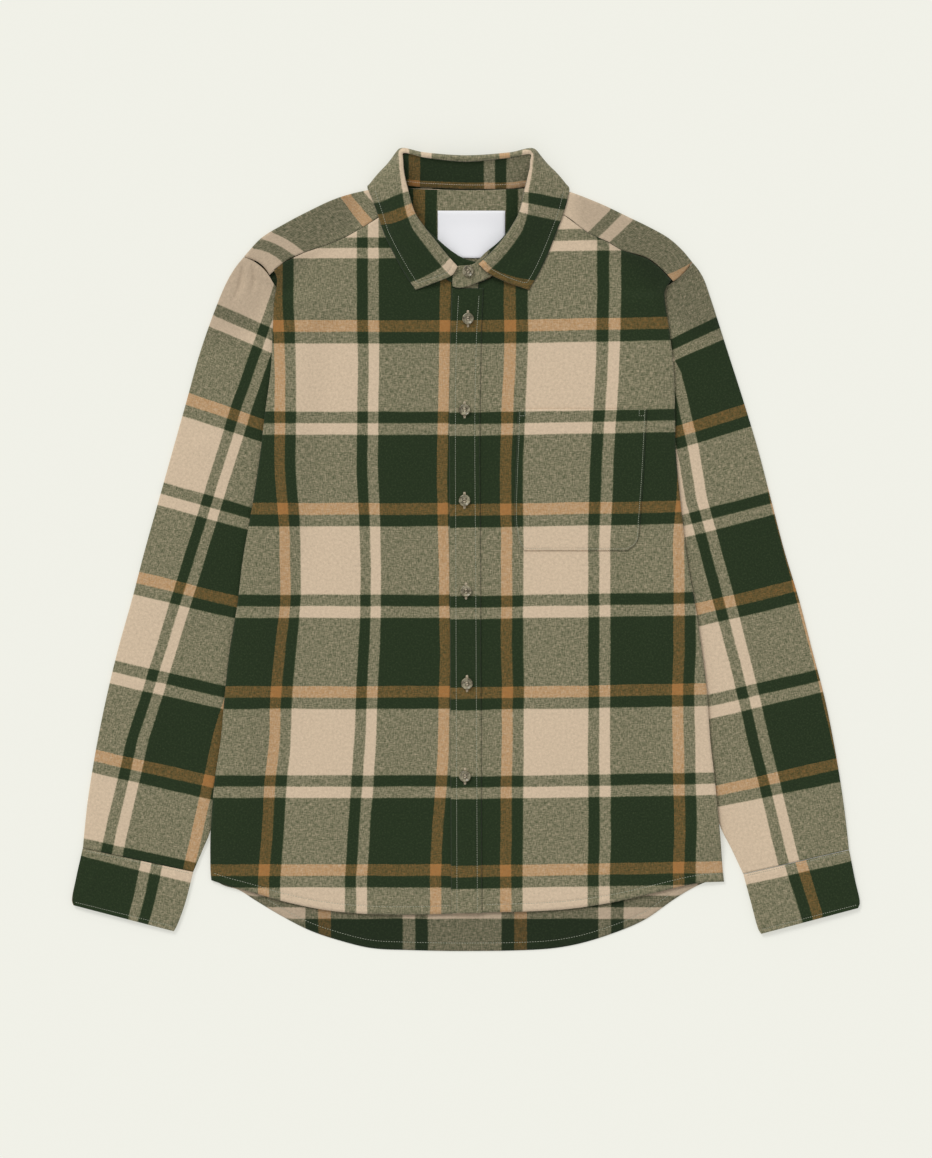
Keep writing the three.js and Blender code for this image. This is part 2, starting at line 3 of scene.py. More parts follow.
import bpy
import numpy as np
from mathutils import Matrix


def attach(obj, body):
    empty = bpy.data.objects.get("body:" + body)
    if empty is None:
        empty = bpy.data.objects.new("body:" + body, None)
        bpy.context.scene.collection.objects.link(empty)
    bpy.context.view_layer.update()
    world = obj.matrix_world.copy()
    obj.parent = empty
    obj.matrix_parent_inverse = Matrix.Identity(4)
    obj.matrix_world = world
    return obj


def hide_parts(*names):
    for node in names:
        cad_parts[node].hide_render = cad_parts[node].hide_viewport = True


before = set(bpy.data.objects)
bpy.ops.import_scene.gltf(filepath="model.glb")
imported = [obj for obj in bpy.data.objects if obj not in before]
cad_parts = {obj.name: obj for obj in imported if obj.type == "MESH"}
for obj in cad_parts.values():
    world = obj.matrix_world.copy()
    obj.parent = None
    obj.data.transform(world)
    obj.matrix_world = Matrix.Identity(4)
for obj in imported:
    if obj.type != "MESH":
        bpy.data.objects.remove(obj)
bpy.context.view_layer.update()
scene = bpy.context.scene
print("frame loaded,", len(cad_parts), "pieces")

# The layout is in millimetres, across from its left edge and down from its top edge. This point of it
# is the shirt's middle, at the scene's origin.
layoutMiddle = (465.85, 550.3)
clothThick = 1.2
layerStep = 1.5
sleeveHeight = 4.0
grid = 3.0  # spacing of the cloth's points


# Nought below low, one above high, and a soft S between them
def ease(low, high, x):
    t = np.clip((x - low) / (high - low), 0, 1)
    return t * t * (3 - 2 * t)


# A cubic curve through a table's rows; its slope at each row is that of the line between the two
# neighbouring rows
def readTable(table, x, column=1):
    rows = np.array([[row[0], row[column]] for row in table], float)
    last = len(rows) - 1
    k = np.arange(last + 1)
    before, after = rows[np.maximum(k - 1, 0)], rows[np.minimum(k + 1, last)]
    slopes = (after[:, 1] - before[:, 1]) / (after[:, 0] - before[:, 0])
    i = np.clip(np.searchsorted(rows[:, 0], x, side="right") - 1, 0, last - 1)
    width = rows[i + 1, 0] - rows[i, 0]
    t = np.clip((x - rows[i, 0]) / width, 0, 1)
    t2, t3 = t * t, t * t * t
    return (
        (2 * t3 - 3 * t2 + 1) * rows[i, 1]
        + (t3 - 2 * t2 + t) * width * slopes[i]
        + (3 * t2 - 2 * t3) * rows[i + 1, 1]
        + (t3 - t2) * width * slopes[i + 1]
    )


# Straight lines through a table's rows; the two end lines go on past the ends where run is true
def readLines(table, x, column=1, run=False):
    rows = np.array([[row[0], row[column]] for row in table], float)
    if not run:
        return np.interp(x, rows[:, 0], rows[:, 1])
    i = np.clip(np.searchsorted(rows[:, 0], x, side="right") - 1, 0, len(rows) - 2)
    slope = (rows[i + 1, 1] - rows[i, 1]) / (rows[i + 1, 0] - rows[i, 0])
    return rows[i, 1] + slope * (x - rows[i, 0])


# A smooth curve through the points of the first axis, read at the shares t: cubic pieces whose
# spacing is the root of the distance between the points
def curveThrough(points, t):
    p = np.asarray(points, float)
    p = np.concatenate([2 * p[:1] - p[1:2], p, 2 * p[-1:] - p[-2:-1]])
    last = len(p) - 3
    place = np.asarray(t) * last
    i = np.clip(np.floor(place).astype(int), 0, last - 1)
    u = (place - i).reshape((-1,) + (1,) * (p.ndim - 1))
    a, b, c, d = p[i], p[i + 1], p[i + 2], p[i + 3]

    def gap(m, n):
        return np.maximum(np.sqrt(np.linalg.norm(n - m, axis=-1, keepdims=True)), 1e-4)

    ab, bc, cd = gap(a, b), gap(b, c), gap(c, d)
    slopeB = ((b - a) / ab - (c - a) / (ab + bc) + (c - b) / bc) * bc
    slopeC = ((c - b) / bc - (d - b) / (bc + cd) + (d - c) / cd) * bc
    u2, u3 = u * u, u * u * u
    return (2 * u3 - 3 * u2 + 1) * b + (u3 - 2 * u2 + u) * slopeB + (3 * u2 - 2 * u3) * c + (u3 - u2) * slopeC


def stack(across, down, up):
    across, down, up = np.broadcast_arrays(across, down, up)
    return np.stack([across, down, up], axis=-1).astype(float)


# Layout millimetres to the scene's metres: across less the middle, the middle less down, and up
def toScene(points):
    p = np.asarray(points, float)
    return np.stack([p[..., 0] - layoutMiddle[0], layoutMiddle[1] - p[..., 1], p[..., 2]], axis=-1) / 1000


# A mesh in the scene. cloth is its map, in millimetres of warp and weft, and stitch each vertex's
# distance from the nearest line of stitches.
def addMesh(name, vertices, faces, material, cloth=None, stitch=None):
    mesh = bpy.data.meshes.new(name)
    faces = np.asarray(faces, np.int32)
    corners = faces.shape[1]
    mesh.vertices.add(len(vertices))
    mesh.vertices.foreach_set("co", np.ascontiguousarray(vertices, np.float32).ravel())
    mesh.loops.add(faces.size)
    mesh.loops.foreach_set("vertex_index", faces.ravel())
    mesh.polygons.add(len(faces))
    mesh.polygons.foreach_set("loop_start", np.arange(0, faces.size, corners, dtype=np.int32))
    mesh.polygons.foreach_set("use_smooth", np.ones(len(faces), bool))
    mesh.update(calc_edges=True)
    if cloth is not None:
        layer = mesh.uv_layers.new(name="cloth")
        layer.data.foreach_set("uv", np.ascontiguousarray(cloth[faces.ravel()], np.float32).ravel())
        away = mesh.attributes.new("stitchAway", "FLOAT", "POINT")
        far = np.full(len(vertices), 40.0)
        away.data.foreach_set("value", np.ascontiguousarray(far if stitch is None else stitch, np.float32))
    mesh.materials.append(material)
    made = bpy.data.objects.new(name, mesh)
    scene.collection.objects.link(made)
    return made


# A closed thin shell about a grid of middle points, rows running down and columns across. Its faces
# lie half the thickness above and below along the normal, which is the cross product of the grid's
# two directions; a round edge joins them, drawn in by a share of the thickness.
def clothShell(name, points, material, cloth, thick=clothThick, cells=None, stitch=None, drawnIn=1.0):
    middle = toScene(points)
    rows, columns = middle.shape[:2]
    normal = np.cross(np.gradient(middle, axis=0), np.gradient(middle, axis=1))
    normal = (normal / np.linalg.norm(normal, axis=-1, keepdims=True)).reshape(-1, 3)
    middle = middle.reshape(-1, 3)
    index = np.arange(rows * columns).reshape(rows, columns)
    quads = np.stack([index[:-1, :-1], index[1:, :-1], index[1:, 1:], index[:-1, 1:]], axis=-1)
    quads = quads[np.ones((rows - 1, columns - 1), bool) if cells is None else cells]
    start, end = quads.ravel(), np.roll(quads, -1, axis=1).ravel()
    count = len(middle)
    free = ~np.isin(start * count + end, end * count + start)
    start, end = start[free], end[free]
    outward = np.zeros((count, 3))
    side = np.cross(middle[end] - middle[start], normal[start])
    np.add.at(outward, start, side)
    np.add.at(outward, end, side)
    length = np.linalg.norm(outward, axis=-1, keepdims=True)
    outward = outward / np.maximum(length, 1e-12)
    half = thick / 2000
    drawn = middle - outward * half * drawnIn
    vertices = np.concatenate([drawn + normal * half, drawn - normal * half, middle])
    rim = np.concatenate(
        [
            np.stack([end, start, start + 2 * count, end + 2 * count], axis=-1),
            np.stack([end + 2 * count, start + 2 * count, start + count, end + count], axis=-1),
        ]
    )
    faces = np.concatenate([quads, quads[:, ::-1] + count, rim])
    used = np.unique(faces)
    renumber = np.zeros(3 * count, np.int64)
    renumber[used] = np.arange(len(used))
    flat = np.tile(np.reshape(cloth, (-1, 2)), (3, 1))[used]
    away = None if stitch is None else np.tile(np.ravel(stitch), 3)[used]
    return addMesh(name, vertices[used], renumber[faces], material, flat, away)


# Shares from nought to one, so many that a width has a point in about every spacing
def along(low, high, spacing=grid):
    return np.linspace(0, 1, max(2, int(round(abs(high - low) / spacing)) + 1))


# Each piece rides on the shirt's one body and takes the place of its own solid
def finishPiece(piece, slot, *nodes):
    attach(piece, "root")
    if nodes:
        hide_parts(*nodes)
    return piece


# A shell of cloth in the place of the solid of its name
def layCloth(name, points, material, cloth, slot="flannel", **shape):
    piece = clothShell(name + "_cloth", points, material, cloth, **shape)
    return finishPiece(piece, slot, name)


# One stitch lying along x: rings of five corners between two tips, arched so that its ends sink in
def stitchShape():
    angle = np.linspace(0, 2 * math.pi, 6)[:-1]
    rings = [[x, 0.5 * math.cos(a), 0.5 * math.sin(a)] for x in (-0.36, 0, 0.36) for a in angle]
    shape = np.array([[-0.5, 0, -0.3], *rings, [0.5, 0, -0.3]])
    shape[:, 2] -= 1.2 * shape[:, 0] ** 2
    faces = []
    for k in range(5):
        n = (k + 1) % 5
        faces += [(0, 1 + n, 1 + k), (16, 11 + k, 11 + n)]
        for ring in (0, 5):
            a, b, c, d = 1 + ring + k, 1 + ring + n, 6 + ring + n, 6 + ring + k
            faces += [(a, b, c), (a, c, d)]
    return shape, np.array(faces)


# Stitches at these middles, each along its direction and standing on z, all of one length and width
def stitchVertices(middles, directions, length, width):
    shape, faces = stitchShape()
    x = directions / np.linalg.norm(directions, axis=-1, keepdims=True)
    y = np.cross([0, 0, 1.0], x)
    y /= np.linalg.norm(y, axis=-1, keepdims=True)
    z = np.cross(x, y)
    local = shape * [length, width, width * 0.8]
    turned = local[:, :1] * x[:, None] + local[:, 1:2] * y[:, None] + local[:, 2:] * z[:, None]
    points = middles[:, None] + turned
    allFaces = faces[None] + (np.arange(len(middles)) * len(shape))[:, None, None]
    return points.reshape(-1, 3), allFaces.reshape(-1, 3)


# Even steps of the pitch along a line of points: the middle of each step and its direction
def stepsAlong(line, pitch):
    line = np.asarray(line, float)
    run = np.concatenate([[0], np.cumsum(np.linalg.norm(np.diff(line, axis=0), axis=-1))])
    count = max(1, int(run[-1] / pitch))
    at = (np.arange(count) + 0.5) * run[-1] / count

    def place(where):
        return np.stack([np.interp(where, run, line[:, k]) for k in range(3)], axis=-1)

    return place(at), place(at + 0.3 * pitch) - place(at - 0.3 * pitch)


# Stitches of one thread along lines of points, as one piece; the sizes are in millimetres
def sewLines(name, lines, thread, pitch=2.3, length=1.75, width=0.5):
    steps = [stepsAlong(line, pitch) for line in lines]
    middles = np.concatenate([m for m, _ in steps])
    directions = np.concatenate([d for _, d in steps])
    points, faces = stitchVertices(toScene(middles), directions * [1, -1, 1], length / 1000, width / 1000)
    piece = addMesh(name, points, faces, thread)
    return finishPiece(piece, "flannel")


# The cloth's levels above the surface

# The body's side edges: how far down, the left edge, the right edge
bodySides = [
    (268, 270, 672), (274, 275.6, 672.4), (280, 277.2, 671), (290, 276.4, 665), (300, 274.6, 664.5),
    (330, 273, 669), (370, 271, 673.5), (415, 265, 674.8), (450, 261, 675.5), (500, 253.5, 680),
    (560, 243, 687), (602, 238, 694.5), (650, 230, 701.5), (690, 225.5, 706.5), (740, 221, 710),
    (780, 215, 714.5), (830, 211, 719.5), (868, 210.5, 722.5), (882, 211.5, 724),
]


# The body's cloth is lifted where it runs over the sleeves
def sleeveLift(across, down):
    left = across - readTable(bodySides, down, 1)
    right = readTable(bodySides, down, 2) - across
    inside = 1 - ease(24, 62, np.minimum(left, right))
    lengthwise = ease(289, 302, down) * (1 - ease(836, 872, down))
    return (sleeveHeight + 0.3) * inside * lengthwise


# The yoke is lifted where the back of the collar leaf lies under it
def leafLift(across, down):
    wide = 1 - ease(101, 122, np.abs(across - layoutMiddle[0]))
    return layerStep * wide * (1 - ease(199, 222, down))


def backLevel(across, down):
    return clothThick / 2 + sleeveLift(across, down) + leafLift(across, down)


def facingLevel(across, down):
    return clothThick / 2 + layerStep + leafLift(across, down - 8)


def frontLevel(across, down):
    side = np.where(across < 466, readTable(bodySides, down, 1), readTable(bodySides, down, 2))
    share = np.clip(np.abs(across - 466) / np.abs(side - 466), 0, 1)
    swell = np.sin(math.pi * share) ** 2 * ease(300, 420, down) * (1 - ease(780, 900, down))
    air = 0.9 * ease(0, 16, np.abs(across - side)) * ease(280, 350, down)
    upper = layerStep * (2 - ease(296, 340, down))
    return backLevel(across, down) + upper + air + 1.1 * swell


# Materials

def link(tree, output, target):
    tree.links.new(output, target)


# A number goes into its socket, anything else is joined to it
def feed(tree, sockets, values):
    for socket, value in zip(sockets, values):
        if isinstance(value, (int, float)):
            socket.default_value = value
        else:
            link(tree, value, socket)


def mathNode(tree, operation, *values):
    node = tree.nodes.new("ShaderNodeMath")
    node.operation = operation
    feed(tree, node.inputs, values)
    return node.outputs[0]


def noiseNode(tree, vector, scale, detail=2.0, rough=0.5):
    node = tree.nodes.new("ShaderNodeTexNoise")
    node.inputs["Scale"].default_value = scale
    node.inputs["Detail"].default_value = detail
    node.inputs["Roughness"].default_value = rough
    link(tree, vector, node.inputs["Vector"])
    return node.outputs["Fac"]


# A flat spot times a number along each of its two directions
def stretched(tree, x, y, xTimes, yTimes):
    node = tree.nodes.new("ShaderNodeCombineXYZ")
    sides = mathNode(tree, "MULTIPLY", x, xTimes), mathNode(tree, "MULTIPLY", y, yTimes)
    feed(tree, node.inputs, sides)
    return node.outputs[0]


# The yarns' colours as the eye reads them, from 0 to 255
yarns = {"green": (33, 47, 24), "cream": (206, 184, 157), "brown": (157, 110, 61)}
# One repeat of each set of yarns: how many millimetres of each colour in turn
warpBands = [("brown", 11), ("green", 11), ("cream", 64), ("green", 11), ("cream", 11), ("green", 62)]
weftBands = [
    ("brown", 11.7), ("green", 11.5), ("cream", 68), ("green", 11.4), ("cream", 11.6), ("green", 67.8),
]


# A ramp over one repeat of the bands, each joined to the next by a 0.8 mm blend
def bandRamp(tree, share, bands):
    node = tree.nodes.new("ShaderNodeValToRGB")
    ramp = node.color_ramp
    whole = sum(width for _, width in bands)
    start = 0.0
    stops = []
    for yarn, width in bands:
        colour = [c / 255 for c in yarns[yarn]] + [1]
        stops += [((start + 0.4) / whole, colour), ((start + width - 0.4) / whole, colour)]
        start += width
    ramp.elements[0].position, ramp.elements[0].color = stops[0]
    ramp.elements[1].position, ramp.elements[1].color = stops[-1]
    for position, colour in stops[1:-1]:
        ramp.elements.new(position).color = colour
    link(tree, share, node.inputs["Fac"])
    return node.outputs["Color"]


def newMaterial(name, roughness):
    material = bpy.data.materials.new(name)
    material.use_nodes = True
    shader = material.node_tree.nodes["Principled BSDF"]
    shader.inputs["Roughness"].default_value = roughness
    return material, material.node_tree, shader


# How far a value is between two others, eased at both ends, as a node
def easeNode(tree, value, start, end):
    node = tree.nodes.new("ShaderNodeMapRange")
    node.interpolation_type = "SMOOTHSTEP"
    node.inputs["From Min"].default_value = start
    node.inputs["From Max"].default_value = end
    link(tree, value, node.inputs["Value"])
    return node.outputs["Result"]


# One colour over another, mixed by a share
def mixNode(tree, factor, under, over):
    node = tree.nodes.new("ShaderNodeMix")
    node.data_type = "RGBA"
    link(tree, factor, node.inputs["Factor"])
    link(tree, under, node.inputs["A"])
    if isinstance(over, tuple):
        node.inputs["B"].default_value = over
    else:
        link(tree, over, node.inputs["B"])
    return node.outputs["Result"]


# Repeats, wander and stitch dip are in millimetres, the relief is in metres
flannelLook = {
    "warpRepeat": 170.0,
    "weftRepeat": 182.0,
    "wander": 2.0,
    "fuzz": 1.4,
    "contrast": 0.9,
    "napContrast": 0.36,
    "lint": (0.55, 0.55, 0.45, 1),
    "shoulderShade": 0.11,
    "stitchDip": 1.3,
    "roughness": 0.95,
    "relief": 0.0004,
}


# Warp and weft read their bands from the cloth's own map, in millimetres, and each shows for half of
# the surface; fine noise tips the share one way or the other, as the twill and the brushed nap do.
# The shoulders' cloth falls away from the light and is deeper: in full over 260 mm from a point 100 mm
# above the middle, over 120 mm to the side and over 235 mm above the middle.
# light scales the whole colour; below one it paints shade into the cloth.
def flannelMaterial(name, light):
    look = flannelLook
    material, tree, shader = newMaterial(name, look["roughness"])

    def maths(*parts):
        return mathNode(tree, *parts)

    uv = tree.nodes.new("ShaderNodeUVMap")
    uv.uv_map = "cloth"
    split = tree.nodes.new("ShaderNodeSeparateXYZ")
    link(tree, uv.outputs[0], split.inputs[0])
    w, f = split.outputs[0], split.outputs[1]
    wander = noiseNode(tree, stretched(tree, w, f, 0.02, 0.02), 1.0)
    fuzz = noiseNode(tree, uv.outputs[0], 0.8, 1.0)
    shift = maths(
        "ADD",
        maths("MULTIPLY_ADD", wander, look["wander"], -look["wander"] / 2),
        maths("MULTIPLY_ADD", fuzz, look["fuzz"], -look["fuzz"] / 2),
    )

    def bandColour(coordinate, repeat, bands):
        moved = maths("ADD", coordinate, shift)
        return bandRamp(tree, maths("DIVIDE", maths("FLOORED_MODULO", moved, repeat), repeat), bands)

    warp = bandColour(w, look["warpRepeat"], warpBands)
    weft = bandColour(f, look["weftRepeat"], weftBands)
    warpSlub = noiseNode(tree, stretched(tree, w, f, 0.9, 0.22), 1.0, 3.0, 0.6)
    weftSlub = noiseNode(tree, stretched(tree, w, f, 0.22, 0.9), 1.0, 3.0, 0.6)
    clamp = tree.nodes.new("ShaderNodeClamp")
    tip = maths("SUBTRACT", warpSlub, weftSlub)
    link(tree, maths("MULTIPLY_ADD", tip, look["contrast"], 0.5), clamp.inputs[0])
    melange = mixNode(tree, clamp.outputs[0], weft, warp)

    # loose fibres of the nap: sparse pale flecks, seen best on the green
    fibres = maths("SUBTRACT", noiseNode(tree, uv.outputs[0], 0.55, 3.0, 0.7), 0.48)
    flecks = maths("MULTIPLY", maths("MAXIMUM", fibres, 0.0), 0.75)
    nap = noiseNode(tree, uv.outputs[0], 0.35, 6.0, 0.75)

    place = tree.nodes.new("ShaderNodeTexCoord")
    spot = tree.nodes.new("ShaderNodeSeparateXYZ")
    link(tree, place.outputs["Object"], spot.inputs[0])
    x, y = spot.outputs[0], spot.outputs[1]
    above = maths("SUBTRACT", y, 0.1)
    squares = maths("MULTIPLY_ADD", x, x, maths("MULTIPLY", above, above))
    shoulder = maths("MULTIPLY", easeNode(tree, squares, 0.055, 0.0676), easeNode(tree, y, 0.19, 0.235))
    sideways = easeNode(tree, maths("MULTIPLY", x, x), 0.01, 0.0144)
    shade = maths("MULTIPLY_ADD", maths("MULTIPLY", shoulder, sideways), -look["shoulderShade"], light)
    brushed = maths("MULTIPLY_ADD", nap, look["napContrast"], 1 - look["napContrast"] / 2)

    bright = tree.nodes.new("ShaderNodeHueSaturation")
    link(tree, maths("MULTIPLY", brushed, shade), bright.inputs["Value"])
    link(tree, mixNode(tree, flecks, melange, look["lint"]), bright.inputs["Color"])
    gamma = tree.nodes.new("ShaderNodeGamma")
    gamma.inputs["Gamma"].default_value = 2.2
    link(tree, bright.outputs[0], gamma.inputs[0])
    link(tree, gamma.outputs[0], shader.inputs["Base Color"])

    # the nap's relief and the diagonals of the twill, less a bell-shaped dip along each line of stitches
    away = tree.nodes.new("ShaderNodeAttribute")
    away.attribute_name = "stitchAway"
    steps = maths("DIVIDE", away.outputs["Fac"], look["stitchDip"])
    dip = maths("POWER", 2.718, maths("MULTIPLY", maths("POWER", steps, 2.0), -1.0))
    twill = maths("MULTIPLY", maths("SINE", maths("MULTIPLY", maths("ADD", w, f), 4.2)), 0.12)
    bump = tree.nodes.new("ShaderNodeBump")
    bump.inputs["Strength"].default_value = 0.6
    bump.inputs["Distance"].default_value = look["relief"]
    raised = maths("ADD", nap, twill)
    link(tree, maths("SUBTRACT", raised, maths("MULTIPLY", dip, 1.6)), bump.inputs["Height"])
    link(tree, bump.outputs[0], shader.inputs["Normal"])
    shader.inputs["Sheen Weight"].default_value = 0.12
    shader.inputs["Sheen Roughness"].default_value = 0.6
    shader.inputs["Specular IOR Level"].default_value = 0.15
    return material


def labelMaterial():
    material, tree, shader = newMaterial("white woven label", 0.7)
    place = tree.nodes.new("ShaderNodeTexCoord")
    weave = tree.nodes.new("ShaderNodeTexWave")
    weave.inputs["Scale"].default_value = 900
    link(tree, place.outputs["Object"], weave.inputs["Vector"])
    bump = tree.nodes.new("ShaderNodeBump")
    bump.inputs["Strength"].default_value = 0.15
    bump.inputs["Distance"].default_value = 0.0002
    link(tree, weave.outputs["Fac"], bump.inputs["Height"])
    link(tree, bump.outputs[0], shader.inputs["Normal"])
    shader.inputs["Base Color"].default_value = (0.86, 0.86, 0.88, 1)
    return material


def threadMaterial(name, colour):
    material, _, shader = newMaterial(name, 0.75)
    shader.inputs["Base Color"].default_value = (*colour, 1)
    shader.inputs["Sheen Weight"].default_value = 0.1
    return material


# Horn: soft clouds of olive, grey and beige with darker streaks, under a polish
def hornMaterial():
    material, tree, shader = newMaterial("polished horn", 0.28)
    place = tree.nodes.new("ShaderNodeTexCoord")
    streak = noiseNode(tree, place.outputs["Object"], 260, 5.0, 0.6)
    ramp = tree.nodes.new("ShaderNodeValToRGB")
    ramp.color_ramp.elements[0].position = 0.36
    ramp.color_ramp.elements[0].color = (0.06, 0.046, 0.018, 1)
    ramp.color_ramp.elements[1].position = 0.66
    ramp.color_ramp.elements[1].color = (0.38, 0.34, 0.22, 1)
    ramp.color_ramp.elements.new(0.5).color = (0.19, 0.165, 0.1, 1)
    link(tree, streak, ramp.inputs["Fac"])
    link(tree, ramp.outputs["Color"], shader.inputs["Base Color"])
    shader.inputs["Coat Weight"].default_value = 0.5
    shader.inputs["Coat Roughness"].default_value = 0.12
    return material


flannel = flannelMaterial("brushed flannel", 1.0)
# The back's copy of the flannel is 0.86 as bright. This is painted shade for where the back lies under the
# fronts, with a little of the inner side's duller, less brushed face.
backShadedFlannel = flannelMaterial("flannel's inner side, darkened as painted shade", 0.86)
labelWhite = labelMaterial()
horn = hornMaterial()
seamThread = threadMaterial("grey green thread", (0.36, 0.38, 0.29))
holeThread = threadMaterial("beige thread", (0.55, 0.46, 0.33))
print("materials made")


# The body's panels

# How far in from the edges the lines of stitches run
sewnIn = {"hem": 8.0, "pocket": 1.8, "leaf": 5.7, "cuffSeam": 1.6, "cuffEdge": 3.8}
# The fronts end under the strip, and the back is drawn in at its sides
bodySizes = {"rightEnd": 478.0, "leftEnd": 478.4, "backInset": 0.8, "backTop": 288.3}
# The fronts' hem and the back's: across, how far down
frontHem = [
    (211, 880), (226, 885), (252, 892), (279, 900), (320, 909), (362, 913.5), (410, 914.5), (484, 912.5),
    (560, 909.5), (611, 902.5), (653, 893), (697, 883), (724, 881.5),
]
backHem = [
    (211, 878), (224, 885.5), (239, 890), (255, 900), (280, 915), (309, 930), (338, 940), (371, 948),
    (407, 950), (466, 951), (538, 949.5), (573, 945), (608, 935), (644, 920), (673, 900), (689, 890),
    (706, 882), (724, 878),
]
# The fronts' upper edges, along the yoke seam and then down the neck: across, how far down
rightFrontTop = [
    (262, 271.6), (273, 270.6), (277, 267.6), (285.6, 261.6), (304.6, 252.8), (329, 244.6),
    (346, 237.4), (365, 226.5), (380, 217), (394, 211), (403, 233.5), (413, 250), (425, 265),
    (439, 275), (457, 283.4), (478, 282.6),
]
leftFrontTop = [
    (478.4, 282.6), (484, 281), (490, 278), (496, 273.6), (510, 265), (522, 250), (532, 233.5),
    (541, 210), (564.7, 216), (587.6, 233), (609, 243), (620, 249.9), (647, 258.5), (660, 268.1),
    (672.6, 282.4),
]
# Where one repeat of the warp starts and ends on the wearer's right front: down, across, across
rightRepeat = [
    (300, 272, 440), (370, 275, 439), (415, 275, 438), (470, 275, 437), (521, 279, 438), (560, 280, 439),
    (602, 280, 439), (650, 275, 440), (690, 271, 439), (740, 269, 438), (780, 265, 436), (830, 262, 432),
    (880, 258, 430),
]
leftRepeat = [
    (300, 504, 688), (360, 504, 685.5), (400, 502, 684), (430, 501, 680.5), (460, 500, 678.5),
    (500, 500, 676), (540, 501, 673), (560, 501, 673), (650, 501, 673), (690, 502, 672),
    (780, 501, 673), (830, 500.5, 674), (868, 500, 673),
]
# The weft's place down each front: down, millimetres of cloth
rightWeft = [
    (240, -88.4), (248.2, -79.4), (258.6, -67.8), (320.3, 0), (503, 182), (686, 364), (864, 546),
    (1046, 728),
]
leftWeftDown = [
    (200, -122), (242.2, -79.4), (252.8, -67.8), (320.3, 0), (504, 182), (687, 364), (865, 546),
    (1046, 728),
]


def rightCloth(across, down):
    start, end = readTable(rightRepeat, down, 1), readTable(rightRepeat, down, 2)
    return np.stack([170 * (across - start) / (end - start), readLines(rightWeft, down, run=True)], axis=-1)


def leftCloth(across, down):
    start, end = readTable(leftRepeat, down, 1), readTable(leftRepeat, down, 2)
    weft = readLines(leftWeftDown, down + 0.017 * (across - 484))
    return np.stack([170 * (across - start) / (end - start), weft], axis=-1)


# Soft ridges laid on the fronts: from across, down, to across, down, how wide, how high
bodyCreases = [
    (300, 330, 352, 300, 12, 1.2),
    (285, 395, 300, 520, 16, 1.4),
    (262, 470, 300, 560, 14, 1.6),
    (330, 520, 345, 700, 20, 1.2),
    (250, 610, 290, 720, 16, 1.5),
    (390, 620, 400, 760, 22, 1.0),
    (235, 760, 262, 860, 12, 1.3),
    (300, 790, 330, 890, 18, 1.4),
    (400, 830, 420, 905, 16, 1.0),
    (560, 300, 610, 345, 14, 1.1),
    (640, 330, 655, 470, 14, 1.5),
    (600, 440, 625, 560, 20, 1.0),
    (560, 560, 580, 700, 22, 1.2),
    (662, 560, 640, 690, 15, 1.5),
    (690, 690, 660, 800, 14, 1.4),
    (530, 720, 545, 860, 20, 1.1),
    (620, 790, 600, 885, 18, 1.3),
    (690, 800, 705, 870, 10, 1.2),
]


# Ridges along straight lines: each is as high as its table says at its middle, falls off as a bell
# with the distance from the line, and fades out at both ends
def creaseRise(creases, across, down):
    rise = np.zeros(np.broadcast(across, down).shape)
    for x0, y0, x1, y1, wide, high in creases:
        length = math.hypot(x1 - x0, y1 - y0)
        ux, uy = (x1 - x0) / length, (y1 - y0) / length
        share = ((across - x0) * ux + (down - y0) * uy) / length
        off = (across - x0) * uy - (down - y0) * ux
        bow = off - 0.06 * length * np.sin(math.pi * np.clip(share, 0, 1))
        fade = ease(-0.15, 0.3, share) * (1 - ease(0.65, 1.15, share))
        rise += high * fade * np.exp(-((bow / wide) ** 2))
    return rise


def frontTop(across, down):
    side = np.minimum(across - readTable(bodySides, down, 1), readTable(bodySides, down, 2) - across)
    # beside the armhole's lower end the front's edge rises over the sleeve's head
    tuck = 2.9 * (1 - ease(0, 12, side)) * ease(274, 284, down) * (1 - ease(290, 303, down))
    still = ease(0, 14, side) * ease(12, 34, np.abs(across - 468))
    still = still * (1 - ease(885, 900, down)) * ease(285, 320, down)
    return frontLevel(across, down) + tuck + still * creaseRise(bodyCreases, across, down)


# A panel between two side lines, from its upper edge to its hem. Each column keeps its share of the
# way between the sides, and its ends are where it crosses the two edges.
def bodyPanel(start, end, top, hem, spacing=grid):
    columns = along(start(600), end(600), spacing)
    rows = along(290, 900, spacing)

    def crossing(edge):
        down = np.full(columns.shape, 500.0)
        for _ in range(14):
            down = edge(start(down) + columns * (end(down) - start(down)))
        return down

    upper = crossing(lambda across: readLines(top, across))
    lower = crossing(lambda across: readTable(hem, across))
    down = upper + rows[:, None] * (lower - upper)
    across = start(down) + columns * (end(down) - start(down))
    return across, down


def sideLine(column, inset=0.0):
    return lambda down: readTable(bodySides, down, column) + inset


def centreLine(across):
    return lambda down: across + 0 * down


def hemAway(hem, across, down, inset):
    return (readTable(hem, across) - down) * 0.97 - inset


def makeFronts():
    pieces = []
    for name, start, end, top, clothAt in (
        ("front_right", sideLine(1), centreLine(bodySizes["rightEnd"]), rightFrontTop, rightCloth),
        ("front_left", centreLine(bodySizes["leftEnd"]), sideLine(2), leftFrontTop, leftCloth),
    ):
        across, down = bodyPanel(start, end, top, frontHem)
        away = hemAway(frontHem, across, down, sewnIn["hem"])
        points = stack(across, down, frontTop(across, down))
        pieces.append(layCloth(name, points, flannel, clothAt(across, down), stitch=away, drawnIn=0.15))
    return pieces


